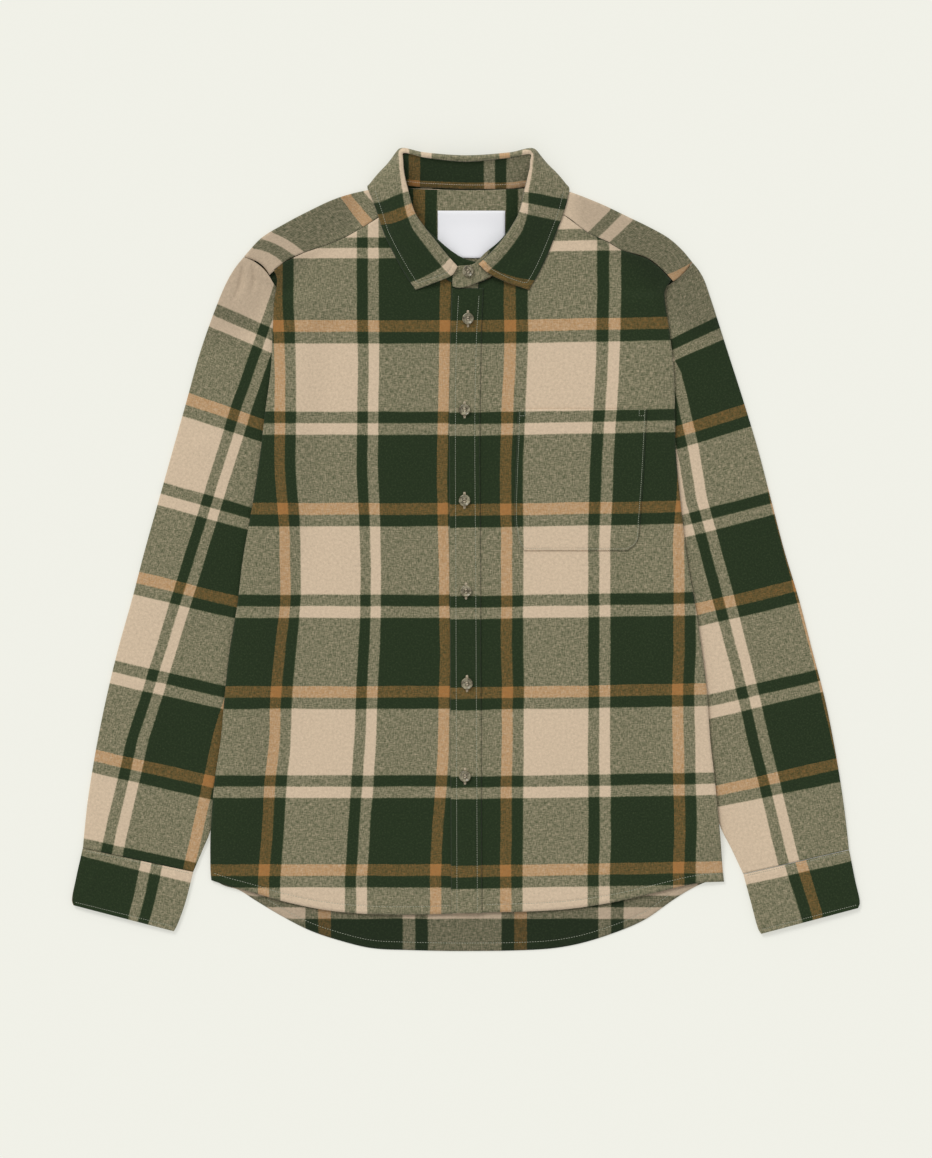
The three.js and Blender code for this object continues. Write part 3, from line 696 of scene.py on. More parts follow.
def makeBack():
    inset, top = bodySizes["backInset"], bodySizes["backTop"]
    across, down = bodyPanel(sideLine(1, inset), sideLine(2, -inset), [(200, top), (740, top)], backHem)
    cloth = np.stack([170 * (331 - across) / 196, 113 + (down - 917.5)], axis=-1)
    away = hemAway(backHem, across, down, sewnIn["hem"])
    # the back takes the darker copy of the flannel: painted shade under the fronts
    return layCloth("back", stack(across, down, backLevel(across, down)), backShadedFlannel, cloth, stitch=away)


# A piece that lies on the fronts: how far down, its left side, its right side
placketSides = [
    (288.4, 452, 483.4), (340, 450.4, 481.4), (430, 449.4, 480), (560, 449.8, 480.6), (913, 451.2, 482),
]
# The placket's two lines of stitches: how far down, the left line, the right line
placketStitches = [
    (296, 458.6, 479), (340, 456.4, 476.4), (430, 455.4, 474.8), (560, 455.8, 475.6), (911, 457, 477.4),
]
pocketSides = [
    (409, 518, 646.4), (440, 517, 645), (478, 515.4, 643), (520, 514.6, 640), (536, 517.2, 638.6),
    (544.6, 519.8, 634.8), (550.6, 524, 627),
]


def onFront(sides, spacing=grid):
    down = sides[0][0] + along(sides[0][0], sides[-1][0], spacing)[:, None] * (sides[-1][0] - sides[0][0])
    left, right = readTable(sides, down, 1), readTable(sides, down, 2)
    columns = along(sides[0][1], sides[0][2], spacing)
    across = left + columns * (right - left)
    return across, np.broadcast_to(down, across.shape)


# Cloth on top of the fronts, with their plaid
def layOnFront(name, across, down, away):
    points = stack(across, down, frontTop(across, down) + layerStep)
    return layCloth(name, points, flannel, leftCloth(across, down), stitch=away)


def makePlacket():
    across, down = onFront(placketSides, 2.4)
    left, right = readTable(placketStitches, down, 1), readTable(placketStitches, down, 2)
    away = np.minimum(np.abs(across - left), np.abs(right - across))
    return layOnFront("placket", across, down, away)


def makePocket():
    across, down = onFront(pocketSides, 2.4)
    left, right = readTable(pocketSides, down, 1), readTable(pocketSides, down, 2)
    inside = np.minimum(np.minimum(across - left, right - across), pocketSides[-1][0] - down)
    return layOnFront("pocket", across, down, inside - sewnIn["pocket"])


frontRight, frontLeft = makeFronts()
backPiece = makeBack()
placketPiece = makePlacket()
pocketPiece = makePocket()
print("body made")


# The yoke and the neck

# The yoke's stations from one armhole to the other: its front seam, the fold on the shoulder and the
# back seam, each across and down. In the neck hole it has no front part.
yokeFront = [
    (269.6, 275.4), (285.6, 261.2), (304.6, 252.5), (329, 244.3), (354, 232.9), (379, 217.2),
    (392.5, 210.3), (420, 210), (466, 210), (512, 210), (542, 209.9), (563.5, 215.1), (587.6, 232.6),
    (609, 242.6), (620, 249.5), (647, 258.1), (660, 267.6), (673, 281.6),
]
yokeFold = [
    (244.6, 257), (262, 238.4), (284, 225), (306, 213.3), (338, 198.6), (370.5, 190.5), (387, 189),
    (420, 189.6), (466, 191), (512, 190.8), (546, 189), (565, 191.5), (598, 203.5), (632, 219.6),
    (645, 225.8), (668, 238.6), (682, 251), (692, 263),
]
yokeBack = [
    (271, 287), (293, 288), (311, 288), (333, 288), (357, 288), (381, 288), (398, 288), (425, 288),
    (466, 288), (507, 288), (534, 288), (553, 288), (580, 288), (603, 288), (618, 288), (641, 288),
    (653, 288), (671, 288),
]
# How far each side edge is drawn in, or let out, along the sleeve's head
rightHollow = np.array([2.4, -2.9])
leftHollow = np.array([1.0, 1.2])
neckStations = (6, 10)  # the front part stops at the first and starts again at the second
# The warp's place on the yoke: across, millimetres of cloth, on the fold and on the front seam
leftFoldWarp = [(252.4, 86), (261.5, 97), (271.6, 108), (341.4, 170), (351, 181), (364, 192)]
leftSeamWarp = [(283.5, 86), (295.5, 97), (305, 108), (363.4, 170), (373, 181), (385, 192)]
rightFoldWarp = [(610.4, 86), (621.2, 97), (633.2, 108), (691.7, 170)]
rightSeamWarp = [(588, 86), (598.4, 97), (609.6, 108), (667.1, 170), (673.4, 181)]


def makeYoke():
    perStation = 8
    s = np.linspace(0, 1, 17 * perStation + 1)
    cut = [k * perStation for k in neckStations]
    # the front seam is a curve of its own on each side of the neck
    left, right = np.array(yokeFront[:7], float), np.array(yokeFront[10:], float)
    leftPart = curveThrough(left, np.linspace(0, 1, cut[0] + 1))
    rightPart = curveThrough(right, np.linspace(0, 1, len(s) - cut[1]))
    between = np.stack([np.linspace(392.5, 542, cut[1] - cut[0] + 1)[1:-1]] * 2, axis=-1)
    between[:, 1] = 210
    seam = np.concatenate([leftPart, between, rightPart])
    fold, backSeam = curveThrough(yokeFold, s), curveThrough(yokeBack, s)

    def inward(end):
        away = end - fold
        return fold + away / np.linalg.norm(away, axis=-1, keepdims=True) * 1.9

    frontEnd, backEnd = inward(seam), inward(backSeam)
    frontRows = np.linspace(0, 1, 16)[:, None, None]
    front = seam + frontRows * (frontEnd - seam)
    # its side edges are hollowed for the sleeves' heads
    hollow = 4 * frontRows * (1 - frontRows)
    near, far = (1 - ease(0, 0.13, s))[:, None], (1 - ease(0, 0.13, 1 - s))[:, None]
    front = front + hollow * (near * rightHollow + far * leftHollow)
    front = np.concatenate([front, frontTop(front[..., 0], front[..., 1])[..., None]], axis=-1)
    back = backEnd + np.linspace(0, 1, 26)[:, None, None] * (backSeam - backEnd)
    hollow = ease(0, 0.5, np.linspace(0, 1, 26))[:, None, None]
    back = back + hollow * near * [1.5, 1.5] + 4 * hollow * (1 - hollow) * far * [2.2, 2.4]
    back = np.concatenate([back, backLevel(back[..., 0], back[..., 1])[..., None]], axis=-1)
    # the turn: half a round from the front's last row to the back's first
    angle = np.linspace(0, math.pi, 9)[1:-1][:, None, None]
    middle, reach = (front[-1] + back[0]) / 2, (front[-1] - back[0]) / 2
    tip = np.concatenate([fold - (frontEnd + backEnd) / 2, np.zeros((len(s), 1))], axis=-1)
    turn = middle + np.cos(angle) * reach + np.sin(angle) * tip
    points = np.concatenate([front, turn, back])[::-1]
    rows = len(points)
    cells = np.ones((rows - 1, len(s) - 1), bool)
    cells[-(len(frontRows) + 3) :, cut[0] : cut[1]] = False
    share = np.concatenate([np.linspace(1, 0, 16), np.zeros(rows - 16)])[::-1][:, None]
    onLeft = s < 0.5

    def warpOn(line, left, right):
        across = line[:, 0]
        return np.where(onLeft, readLines(left, across, run=True), readLines(right, across, run=True))

    foldWarp = warpOn(fold, leftFoldWarp, rightFoldWarp)
    seamWarp = warpOn(seam, leftSeamWarp, rightSeamWarp)
    behind = np.concatenate([np.zeros(rows - 26), np.linspace(0, 1, 26)])[::-1][:, None]
    warp = foldWarp + share * (seamWarp - foldWarp)
    # behind, the map is moved onto the green bands of warp and weft, so that the two notches at the armholes
    # show dark green: partly the cloth's green underside, partly painted shade where folded cloth lies in
    # shadow
    warp = warp + ease(0, 0.3, behind) * (139 + 0.3 * (foldWarp - 139) - warp)
    weft = 35 + 45 * share - 60 * behind + np.zeros_like(warp)
    cloth = np.stack([warp, weft], axis=-1)
    return layCloth("yoke", points, flannel, cloth, cells=cells, drawnIn=0.15)


# A piece's place in the layout's millimetres; the facing's upper edge is bowed
facingSizes = {"left": 406, "right": 527, "top": 190.3, "bottom": 287.6, "bow": 1.5}
labelSizes = {"left": 437.7, "right": 505.2, "top": 211, "bottom": 258.4, "thick": 1.0, "lift": 1.4}


def makeFacing():
    left, right, top, bottom, bow = facingSizes.values()
    across = left + along(left, right)[None, :] * (right - left)
    top = top - bow * ((across - 466) / 55) ** 2
    down = top + along(facingSizes["top"], bottom)[:, None] * (bottom - top)
    across, down = np.broadcast_arrays(across, down)
    cloth = np.stack([22 + (across - 437) * 64 / 69, 116 + 0.85 * (down - 188)], axis=-1)
    return layCloth("yoke_facing", stack(across, down, facingLevel(across, down)), flannel, cloth)


def makeLabel():
    left, right, top, bottom, thick, lift = labelSizes.values()
    across = left + along(left, right)[None, :] * (right - left)
    down = top + along(top, bottom)[:, None] * (bottom - top)
    across, down = np.broadcast_arrays(across, down)
    level = facingLevel(across, down) + lift
    cloth = np.stack([across, down], axis=-1)
    return layCloth("label", stack(across, down, level), labelWhite, cloth, "label", thick=thick)


# The stand from its hidden end, round the neck, to the buttoned tab: its neck edge and its upper
# edge, each across, down and up
standNeck = [
    (478, 281.6, 5.5), (459, 284.6, 5.5), (440, 276, 5.3), (426, 263, 4.8), (414, 248, 3.9),
    (404, 232, 3.9), (396, 213, 4.4), (393, 198, 4.9), (400, 187.2, 4), (424, 187.6, 3.3),
    (466, 189.2, 3.3), (510, 189, 3.3), (534, 188, 4), (541, 198, 4.9), (538, 213, 4.4),
    (530, 232, 3.9), (520, 248, 3.9), (508, 262, 4.9), (492, 276, 6.4), (474, 284.5, 6.7),
    (458, 288.5, 6.7), (452.4, 286.6, 6.7),
]
standTop = [
    (480, 263, 5.7), (464.5, 259, 6.6), (452, 251.8, 9.4), (438.8, 241, 12.2), (425, 228, 14),
    (415.5, 214, 15.5), (408.5, 191, 16.5), (404.5, 172, 17), (403.5, 156, 17.3), (424, 157.5, 17),
    (466, 160, 16.6), (510, 157.5, 17), (530.5, 156, 17.3), (528.5, 172, 17), (524, 191, 16.5),
    (518.5, 214, 15.5), (510, 229, 14), (498, 243, 12.4), (485.6, 253, 10.4), (473, 264.5, 7.3),
    (458, 266.4, 7.1), (452.4, 269.5, 7),
]


def makeStand():
    s = np.linspace(0, 1, 169)
    neck, top = curveThrough(standNeck, s), curveThrough(standTop, s)
    t = np.linspace(0, 1, 11)[:, None, None]
    points = top + t * (neck - top)
    height = np.linalg.norm(neck - top, axis=-1) * (1 - t[..., 0])
    across = points[..., 0]
    atBack = ease(0.37, 0.385, s) * (1 - ease(0.585, 0.6, s))
    # only the tab shows cream; the rest of the front is green
    onTab = ease(0.83, 0.86, s)
    green = 139 + 0.35 * (across - 466)
    warp = green + onTab * (50 + 0.9 * (across - 466) - green)
    warp = np.where(atBack > 0.5, -(across - 420) * 170 / 175, warp)
    weft = np.where(atBack > 0.5, 7 - height, -12 - height)
    seamLine = (top + 0.86 * (neck - top))[atBack > 0.5] + [0, 0.3, 0.7]
    sewLines("neck_seam_sewing", [seamLine], holeThread)
    return layCloth("collar_stand", points, flannel, np.stack([warp, weft], axis=-1))


# The leaf's stations from one point of the collar to the other: where it leaves the stand, where it
# turns over, where it bends down, its outer edge (without a height where it lies on the front), the
# warp's place at the turn and at the outer edge, and the width of the cream band at the turn
leafStations = [
    ((458, 267.4, 7.2), (452.5, 275.5, 9.4), (434, 283.5, 7.6), (415.5, 290.2), 98, 100, 11),
    ((447, 255, 10), (436, 262, 11.6), (420, 268.5, 8.4), (404, 272.5), 112, 119, 11),
    ((436, 241.5, 12.5), (424, 247, 13.8), (407, 250, 9.2), (392, 250.5), 131.5, 143, 11),
    ((425, 228, 14), (412, 231.5, 15.2), (396, 232.5, 9.8), (382.6, 230), 151, 165, 11),
    ((415.5, 214, 15.5), (403, 215.5, 16.4), (388, 215, 10.4), (377.2, 213), 171, 183, 8),
    ((408.5, 191, 16.5), (397, 193, 16.6), (381, 197, 11), (371.6, 198), 194, 198, 5),
    ((404.5, 173, 17), (392, 177, 15.2), (376.4, 179.8, 9), (367.6, 187, 5), 215, 210, 3.4),
    ((403.6, 162, 17.2), (395.5, 162.5, 13.6), (386, 166.6, 5.4), (378, 191, 0.6), 232, 232, 3),
    ((403.5, 155, 17.3), (399.6, 150.3, 13), (398, 156.5, 3.6), (396, 194, 0.6), 246, 246, 4),
    ((424, 157.5, 17), (424, 154, 13), (424, 160, 3), (424, 196, 0.6), 269.6, 270, 7.5),
    ((466, 160, 16.6), (466, 157, 12.6), (466, 163, 3), (466, 197, 0.6), 309, 309, 7.5),
    ((510, 157.5, 17), (510, 154, 13), (510, 160, 3), (510, 196, 0.6), 351, 351, 7.5),
    ((530.5, 155, 17.3), (534.2, 150.4, 13), (536, 156.5, 3.6), (538, 194, 0.6), 374, 374, 2),
    ((529.8, 162, 17.2), (539.5, 162.5, 13.6), (549, 166.6, 5.4), (557, 191, 0.6), 386, 388, 2),
    ((528.5, 173, 17), (545, 177, 15.2), (559.6, 180, 9), (568.8, 188, 5), 402, 412, 2.6),
    ((524, 191, 16.5), (539, 193, 16.6), (556, 197, 11), (567.6, 199), 423, 425, 4),
    ((518.5, 214, 15.5), (533, 215.5, 16.4), (549, 216, 10.4), (562.5, 216.5), 449, 443, 8),
    ((510, 229, 14), (524, 232, 15.2), (541, 234, 9.8), (556, 233.5), 466, 460, 11.5),
    ((500, 242.5, 12.8), (512, 248, 13.8), (531, 252, 9.2), (548, 254), 483, 482, 11.5),
    ((489, 254.5, 10.6), (500, 263.5, 11.8), (520, 270.5, 8.4), (539, 273), 500, 501.5, 11.5),
    ((478, 264.6, 8.6), (487.6, 273.6, 10.6), (507, 283, 7.8), (529, 290.4), 517, 520, 11.5),
]


# Soft ridges on the leaf's two fronts
leafCreases = [
    (385, 240, 420, 256, 6, 0.9), (398, 222, 432, 262, 7, -0.8), (404, 262, 436, 274, 5, 0.7),
    (388, 200, 396, 232, 5, 0.5), (548, 226, 512, 266, 7, -0.8), (536, 246, 508, 284, 6, 0.9),
    (552, 216, 540, 240, 5, 0.5), (520, 262, 504, 280, 4, 0.6),
]


# Points along a grid's first axis where its distance reaches the target, a straight share between rows
def whereDistance(points, distance, target):
    columns = np.arange(points.shape[1])
    k = np.clip((distance < target).sum(axis=0), 1, len(distance) - 1)
    low, high = distance[k - 1, columns], distance[k, columns]
    share = np.clip((target - low) / np.maximum(high - low, 1e-6), 0, 1)[:, None]
    return points[k - 1, columns] + share * (points[k, columns] - points[k - 1, columns])


def makeLeaf():
    s = np.linspace(0, 1, 161)
    t = np.linspace(0, 1, 33)

    def lineOf(column):
        places = []
        for station in leafStations:
            place = station[column]
            up = place[2] if len(place) > 2 else float(frontLevel(place[0], place[1])) + layerStep
            places.append((place[0], place[1], up))
        return curveThrough(places, s)

    start, over, knee, edge = (lineOf(column) for column in range(4))
    stations = np.arange(len(leafStations)) / (len(leafStations) - 1)
    # at the back the leaf runs on down over the stand
    lap = np.interp(s, stations[[8, 9, 10, 11, 12, 13]], [0, 1.6, 3.6, 1.8, 1.5, 0])
    first = start + lap[:, None] * [0, 1, -0.455]
    first[:, 2] += 1.2 + 0.5 * ease(0, 1, lap)
    ridge = start + 0.3 * (over - start)
    ridge[:, 2] = np.maximum(start[:, 2], over[:, 2]) + clothThick / 2 + 1.2
    points = curveThrough(np.stack([first, ridge, over, knee, edge]), t)
    points[..., 2] = np.maximum(points[..., 2], clothThick / 2)
    flatPart = ease(0.45, 0.6, t)[:, None] * (1 - ease(0.9, 1, t))[:, None]
    points[..., 2] += flatPart * creaseRise(leafCreases, points[..., 0], points[..., 1])
    stepLength = np.linalg.norm(np.diff(points[..., :2], axis=0), axis=-1)
    distance = np.concatenate([np.zeros((1, len(s))), np.cumsum(stepLength, axis=0)])
    fold, outer, strip = (
        np.interp(s, stations, [row[column] for row in leafStations]) for column in (4, 5, 6)
    )
    warp = fold + distance / distance[-1] * (outer - fold)
    weft = 113.5 + distance - strip
    fromFirst = np.linalg.norm(points - points[:, :1], axis=-1)
    fromLast = np.linalg.norm(points - points[:, -1:], axis=-1)
    ends = np.minimum(fromFirst, fromLast)
    away = np.minimum(distance[-1] - distance, ends) - sewnIn["leaf"]
    piece = clothShell(
        "collar_leaf_cloth", points[::-1], flannel, np.stack([warp, weft], axis=-1)[::-1],
        stitch=away[::-1],
    )
    # its sewing runs along both short ends and on along the outer edge as far as the shoulders
    fromEdge = (distance[-1] - distance)[::-1]
    raised = points + [0, 0, clothThick / 2 + 0.12]
    margin = sewnIn["leaf"]
    outerLine = whereDistance(raised[::-1], fromEdge, margin)
    lines = []
    for side in (1, -1):
        turned = raised[:, ::side]
        fromEnd = np.linalg.norm(turned - turned[:, :1], axis=-1).T
        endLine = whereDistance(turned.transpose(1, 0, 2), fromEnd, margin)
        endLine = endLine[(t > 0.3) & (endLine[:, 2] > 0) & (fromEdge[::-1][:, ::side][:, 6] > margin)]
        edgeLine = outerLine[::side]
        edgeLine = edgeLine[(fromEnd[:, -1] > margin) & (s < 0.27)]
        lines.append(np.concatenate([endLine, edgeLine]))
    sewLines("collar_leaf_sewing", lines, seamThread, pitch=2.2, length=1.6)
    return finishPiece(piece, "flannel", "collar_leaf")


yokePiece = makeYoke()
facingPiece = makeFacing()
labelPiece = makeLabel()
standPiece = makeStand()
leafPiece = makeLeaf()
print("neck made")


# Sleeves and cuffs

# Each sleeve's sections: its outer edge, and its inner edge, which runs on under the body
rightSleeve = [
    ((243.9, 257.4), (272.4, 281.6)), ((236, 267), (277.6, 290)), ((228, 280), (278, 301)),
    ((219, 300), (285, 330)), ((201, 350), (292, 387)), ((187, 400), (286, 434)),
    ((173, 450), (278, 482)), ((159, 500), (268, 530)), ((145, 550), (257, 579)),
    ((132, 600), (247, 627)), ((118, 650), (237, 677)), ((106, 700), (228, 728)),
    ((96, 750), (219, 778)), ((88, 800), (211, 829)), ((85.4, 823), (203, 849)),
    ((83, 848), (193.4, 871.6)),
]
leftSleeve = [
    ((692.5, 262.9), (670.2, 284.2)), ((699, 271), (662.2, 289.8)), ((704, 280), (662.6, 301)),
    ((711, 300), (654, 330)), ((727, 350), (651, 382)), ((743, 400), (653, 430)),
    ((758, 450), (657, 479)), ((771, 500), (663, 528)), ((784, 550), (673, 578)),
    ((799, 600), (684, 627)), ((812, 650), (695, 677)), ((825, 700), (703, 729)),
    ((835, 750), (711, 779)), ((843, 800), (719, 823)), ((846.5, 828), (732, 850)),
    ((848.8, 849.4), (743.1, 873.7)),
]
rightCuff = [
    ((82.9, 848.2), (193.3, 871.8)), ((76.2, 878), (185, 904)), ((72.2, 900.5), (176.8, 926)),
    ((73.6, 905), (174, 931)),
]
leftCuff = [
    ((849, 850), (743.3, 874.3)), ((855, 880), (751, 903)), ((859.6, 903), (758.2, 929)),
    ((858, 907.8), (761, 933.6)),
]


# A flattened open tube of cloth. Each section is a loop between its outer and its inner edge, whose
# height above the middle is half the tube's height times (1 - u squared) to the power 0.15, u running
# from -1 to 1 across. rise lifts its upper layer. The tube is closed round its two ends.
# headLift raises its first end, and headBow pushes that end out in the middle.
def clothTube(
    name, sections, clothAt, height, thick, rise, rowCount, headLift=0.0, headBow=(0, 0), stitchAt=None
):
    outer = curveThrough([row[0] for row in sections], np.linspace(0, 1, rowCount))
    inner = curveThrough([row[1] for row in sections], np.linspace(0, 1, rowCount))
    half = 56
    angle = np.linspace(0, 2 * math.pi, 2 * half + 1)[:-1]
    u = np.cos(angle)
    lift = np.sign(np.round(np.sin(angle), 9)) * (1 - u * u) ** 0.15
    middle, reach = (outer + inner) / 2, (outer - inner) / 2
    length = np.linalg.norm(reach, axis=-1, keepdims=True)
    way = np.linspace(0, 1, rowCount)[:, None]
    bow = (1 - ease(0, 0.06, way)) * (1 - u * u)

    def layer(inset):
        flat = middle[:, None] + (reach * (length - inset) / length)[:, None] * u[None, :, None]
        flat = flat + bow[..., None] * np.array(headBow, float)
        up = height / 2 + (height / 2 - inset) * lift + headLift * (1 - ease(0.02, 0.09, way))
        raised = rise(flat[..., 0], flat[..., 1]) * (1 - u**8)
        up = np.broadcast_to(up, flat.shape[:2]) + np.where(lift > 0, raised, 0)
        return np.concatenate([flat, up[..., None]], axis=-1)

    outside, inside = layer(0), layer(thick)
    rows, around = outside.shape[:2]
    index = np.arange(rows * around).reshape(rows, around)
    nextOne = np.roll(index, -1, axis=1)
    quads = np.stack([index[:-1], nextOne[:-1], nextOne[1:], index[1:]], axis=-1).reshape(-1, 4)
    count = rows * around
    firstEnd = np.stack([index[0], index[0] + count, nextOne[0] + count, nextOne[0]], axis=-1)
    lastEnd = np.stack([index[-1], nextOne[-1], nextOne[-1] + count, index[-1] + count], axis=-1)
    faces = np.concatenate([quads, quads[:, ::-1] + count, firstEnd, lastEnd])
    vertices = toScene(np.concatenate([outside.reshape(-1, 3), inside.reshape(-1, 3)]))
    a, b, c = vertices[faces[:, 0]], vertices[faces[:, 1]], vertices[faces[:, 2]]
    d = vertices[faces[:, 3]]
    volume = np.sum(a * np.cross(b, c)) + np.sum(a * np.cross(c, d))
    if volume < 0:
        faces = faces[:, ::-1]
    outerDown = np.broadcast_to(outer[:, 1:2], outside.shape[:2])
    share = np.broadcast_to((1 - u) / 2, outside.shape[:2])
    flatCloth = clothAt(outside[..., 0], outside[..., 1], outerDown, share)
    cloth = np.tile(flatCloth.reshape(-1, 2), (2, 1))
    away = None
    if stitchAt is not None:
        away = np.tile(np.ravel(stitchAt(outerDown)), 2)
    return addMesh(name, vertices, faces, flannel, cloth, away)


rightWarp = [
    (260, 283), (300, 269), (355, 249.5), (406, 231.6), (696, 141), (740, 126.6), (806, 111.5),
    (850, 101.4),
]
rightWidth = [(260, 1.03), (600, 1.03), (780, 0.975), (880, 0.975)]
rightSleeveWeft = [(393, 0), (571.6, 182), (749.3, 364)]
leftWarp = [
    (265, 640), (300, 649), (345, 661), (359, 668), (371, 675), (395, 681), (447, 692.8), (500, 702),
    (631.6, 737.6), (683.7, 751), (740, 763.8), (850, 791),
]
leftWeft = [(317, -91), (404, 0), (580, 182), (758.2, 364), (769.5, 375.7), (781.7, 387.2), (849.4, 455)]


def rightSleeveCloth(across, down, outerDown, share):
    warp = 86 + readLines(rightWidth, down) * (across - readLines(rightWarp, down, run=True))
    return np.stack([warp, readLines(rightSleeveWeft, outerDown, run=True)], axis=-1)


def leftSleeveCloth(across, down, outerDown, share):
    warp = 102.5 + across - readLines(leftWarp, down, run=True)
    return np.stack([warp, readLines(leftWeft, outerDown, run=True)], axis=-1)


def rightCuffCloth(across, down, outerDown, share):
    warp = 97 + 114 * (0.614 - share) + 1.4 + 0.04 * (outerDown - 850)
    return np.stack([warp, 114.2 + (outerDown - 855.7) * 1.03 - 2.8 * share], axis=-1)


def leftCuffCloth(across, down, outerDown, share):
    warp = 11 + 108.5 * (share - 0.501) - 0.8 + 0.07 * (outerDown - 850)
    return np.stack([warp, 103 + (outerDown - 850) * 1.03], axis=-1)


# Ridges laid on the sleeves, as those of the body
sleeveCreases = [
    (243, 266, 233, 302, 2.4, -1.6),
    (253, 263, 253, 292, 2.2, -1.4),
    (248, 266, 243, 300, 3.5, 0.8),
    (262, 272, 260, 296, 2.6, -0.6),
    (240, 290, 258, 330, 8, 1.6),
    (214, 350, 236, 430, 14, 1.5),
    (190, 440, 240, 470, 12, 1.2),
    (176, 520, 196, 620, 16, 1.6),
    (150, 600, 205, 625, 12, 1.2),
    (140, 660, 150, 760, 16, 1.3),
    (110, 740, 165, 760, 12, 1.0),
    (112, 790, 118, 850, 10, 1.4),
    (150, 800, 160, 862, 10, 1.3),
    (708, 300, 716, 360, 10, 1.5),
    (700, 380, 726, 460, 14, 1.5),
    (720, 470, 760, 520, 14, 1.4),
    (736, 560, 756, 650, 16, 1.5),
    (744, 640, 800, 660, 12, 1.1),
    (770, 690, 790, 790, 16, 1.4),
    (812, 780, 818, 850, 10, 1.4),
    (768, 800, 774, 862, 10, 1.3),
]


def sleeveRise(across, down):
    outside = np.maximum(readTable(bodySides, down, 1) - across, across - readTable(bodySides, down, 2))
    return creaseRise(sleeveCreases, across, down) * ease(4, 22, outside) * ease(256, 268, down)


# Puckers and soft ridges of the cuffs
cuffCreases = [
    (92, 852, 90, 862, 2.2, 0.5), (104, 855, 103, 866, 2.6, 0.6), (121, 858, 119, 871, 2.2, 0.5),
    (139, 862, 138, 872, 3.0, 0.6), (158, 866, 155, 880, 2.4, 0.5), (176, 870, 174, 882, 2.6, 0.5),
    (98, 868, 84, 894, 4.5, 0.8), (112, 866, 100, 890, 4.0, 0.6),
    (757, 872, 760, 884, 2.4, 0.5), (776, 868, 777, 878, 2.8, 0.5), (801, 862, 804, 874, 2.4, 0.5),
    (822, 858, 826, 868, 2.6, 0.5), (838, 866, 846, 892, 5.0, 0.6),
]


def cuffRise(across, down):
    return creaseRise(cuffCreases, across, down)


# The cuff's stitches lie just under its seam and just above its lower edge
def cuffStitch(outerDown):
    first, last = outerDown[0, 0], outerDown[-1, 0]
    fromSeam, fromEdge = outerDown - first - sewnIn["cuffSeam"], last - outerDown - sewnIn["cuffEdge"]
    return np.minimum(np.abs(fromSeam), np.abs(fromEdge))


sleeveMake = {
    "height": sleeveHeight,
    "thick": clothThick,
    "rise": sleeveRise,
    "rowCount": 190,
    "headLift": 1.4,
}
cuffMake = {"height": 4.4, "thick": 1.5, "rise": cuffRise, "rowCount": 40, "stitchAt": cuffStitch}
rightBow, leftBow = (2.5, -3.1), (1.0, 1.2)
sleeveRight = clothTube("sleeve_right_cloth", rightSleeve, rightSleeveCloth, headBow=rightBow, **sleeveMake)
sleeveLeft = clothTube("sleeve_left_cloth", leftSleeve, leftSleeveCloth, headBow=leftBow, **sleeveMake)
cuffRight = clothTube("cuff_right_cloth", rightCuff, rightCuffCloth, **cuffMake)
cuffLeft = clothTube("cuff_left_cloth", leftCuff, leftCuffCloth, **cuffMake)
for piece in (sleeveRight, sleeveLeft, cuffRight, cuffLeft):
    node = piece.name.removesuffix("_cloth")
    finishPiece(piece, "flannel", node)
print("sleeves made")

# Sewing and buttons

# A line on the fronts, or on a piece sewn to them, just above the cloth
def onCloth(across, down, layers=0):
    return stack(across, down, frontTop(across, down) + layers * layerStep + clothThick / 2 + 0.05)


def sewBody():
    down = np.linspace(296, 911, 200)
    left, right = readTable(placketStitches, down, 1), readTable(placketStitches, down, 2)
    sewLines("placket_sewing", [onCloth(left, down, 1), onCloth(right, down, 1)], seamThread)
    across = np.linspace(214, 449, 90)
    lines = [onCloth(across, readTable(frontHem, across) - sewnIn["hem"])]
    across = np.linspace(486, 720, 90)
    lines.append(onCloth(across, readTable(frontHem, across) - sewnIn["hem"]))
    sewLines("front_hem_sewing", lines, seamThread, pitch=2.6)
    down = np.linspace(410, 534, 60)
    left = np.stack([readTable(pocketSides, down, 1) + sewnIn["pocket"], down], axis=-1)
    corner = np.array([(519.2, 539), (522, 545.4), (526.4, 548.6), (540, 549)])
    right = np.stack([readTable(pocketSides, down, 2) - sewnIn["pocket"], down], axis=-1)[::-1]
    otherCorner = np.array([(615, 549), (626.6, 548.8), (633.6, 544.4), (636.8, 540)])
    path = np.concatenate([left, corner, otherCorner, right])
    boxes = [
        np.array([(519.8, 416), (525, 416), (525, 410)]),
        np.array([(644.4, 416), (639, 416), (639, 410)]),
    ]
    lines = [onCloth(line[:, 0], line[:, 1], 1) for line in (path, *boxes)]
    sewLines("pocket_sewing", lines, seamThread, pitch=2.1, length=1.5)
    across = np.linspace(268, 668, 160)
    down = readTable(backHem, across) - sewnIn["hem"]
    line = stack(across, down, backLevel(across, down) + clothThick / 2 + 0.05)
    sewLines("back_hem_sewing", [line], seamThread, pitch=2.6)


# A line across a cuff's upper side, from edge to edge, at this distance down its outer edge
def cuffLine(sections, place):
    rows = np.array(sections, float)
    outer, inner = (
        [np.interp(place, rows[:, 0, 1], rows[:, side, k]) for k in (0, 1)] for side in (0, 1)
    )
    u = np.linspace(-0.94, 0.94, 70)
    across, down = ((outer[k] + inner[k]) / 2 + u * (outer[k] - inner[k]) / 2 for k in (0, 1))
    return stack(across, down, 2.28 + 2.2 * (1 - u * u) ** 0.15 + cuffRise(across, down) * (1 - u**8))


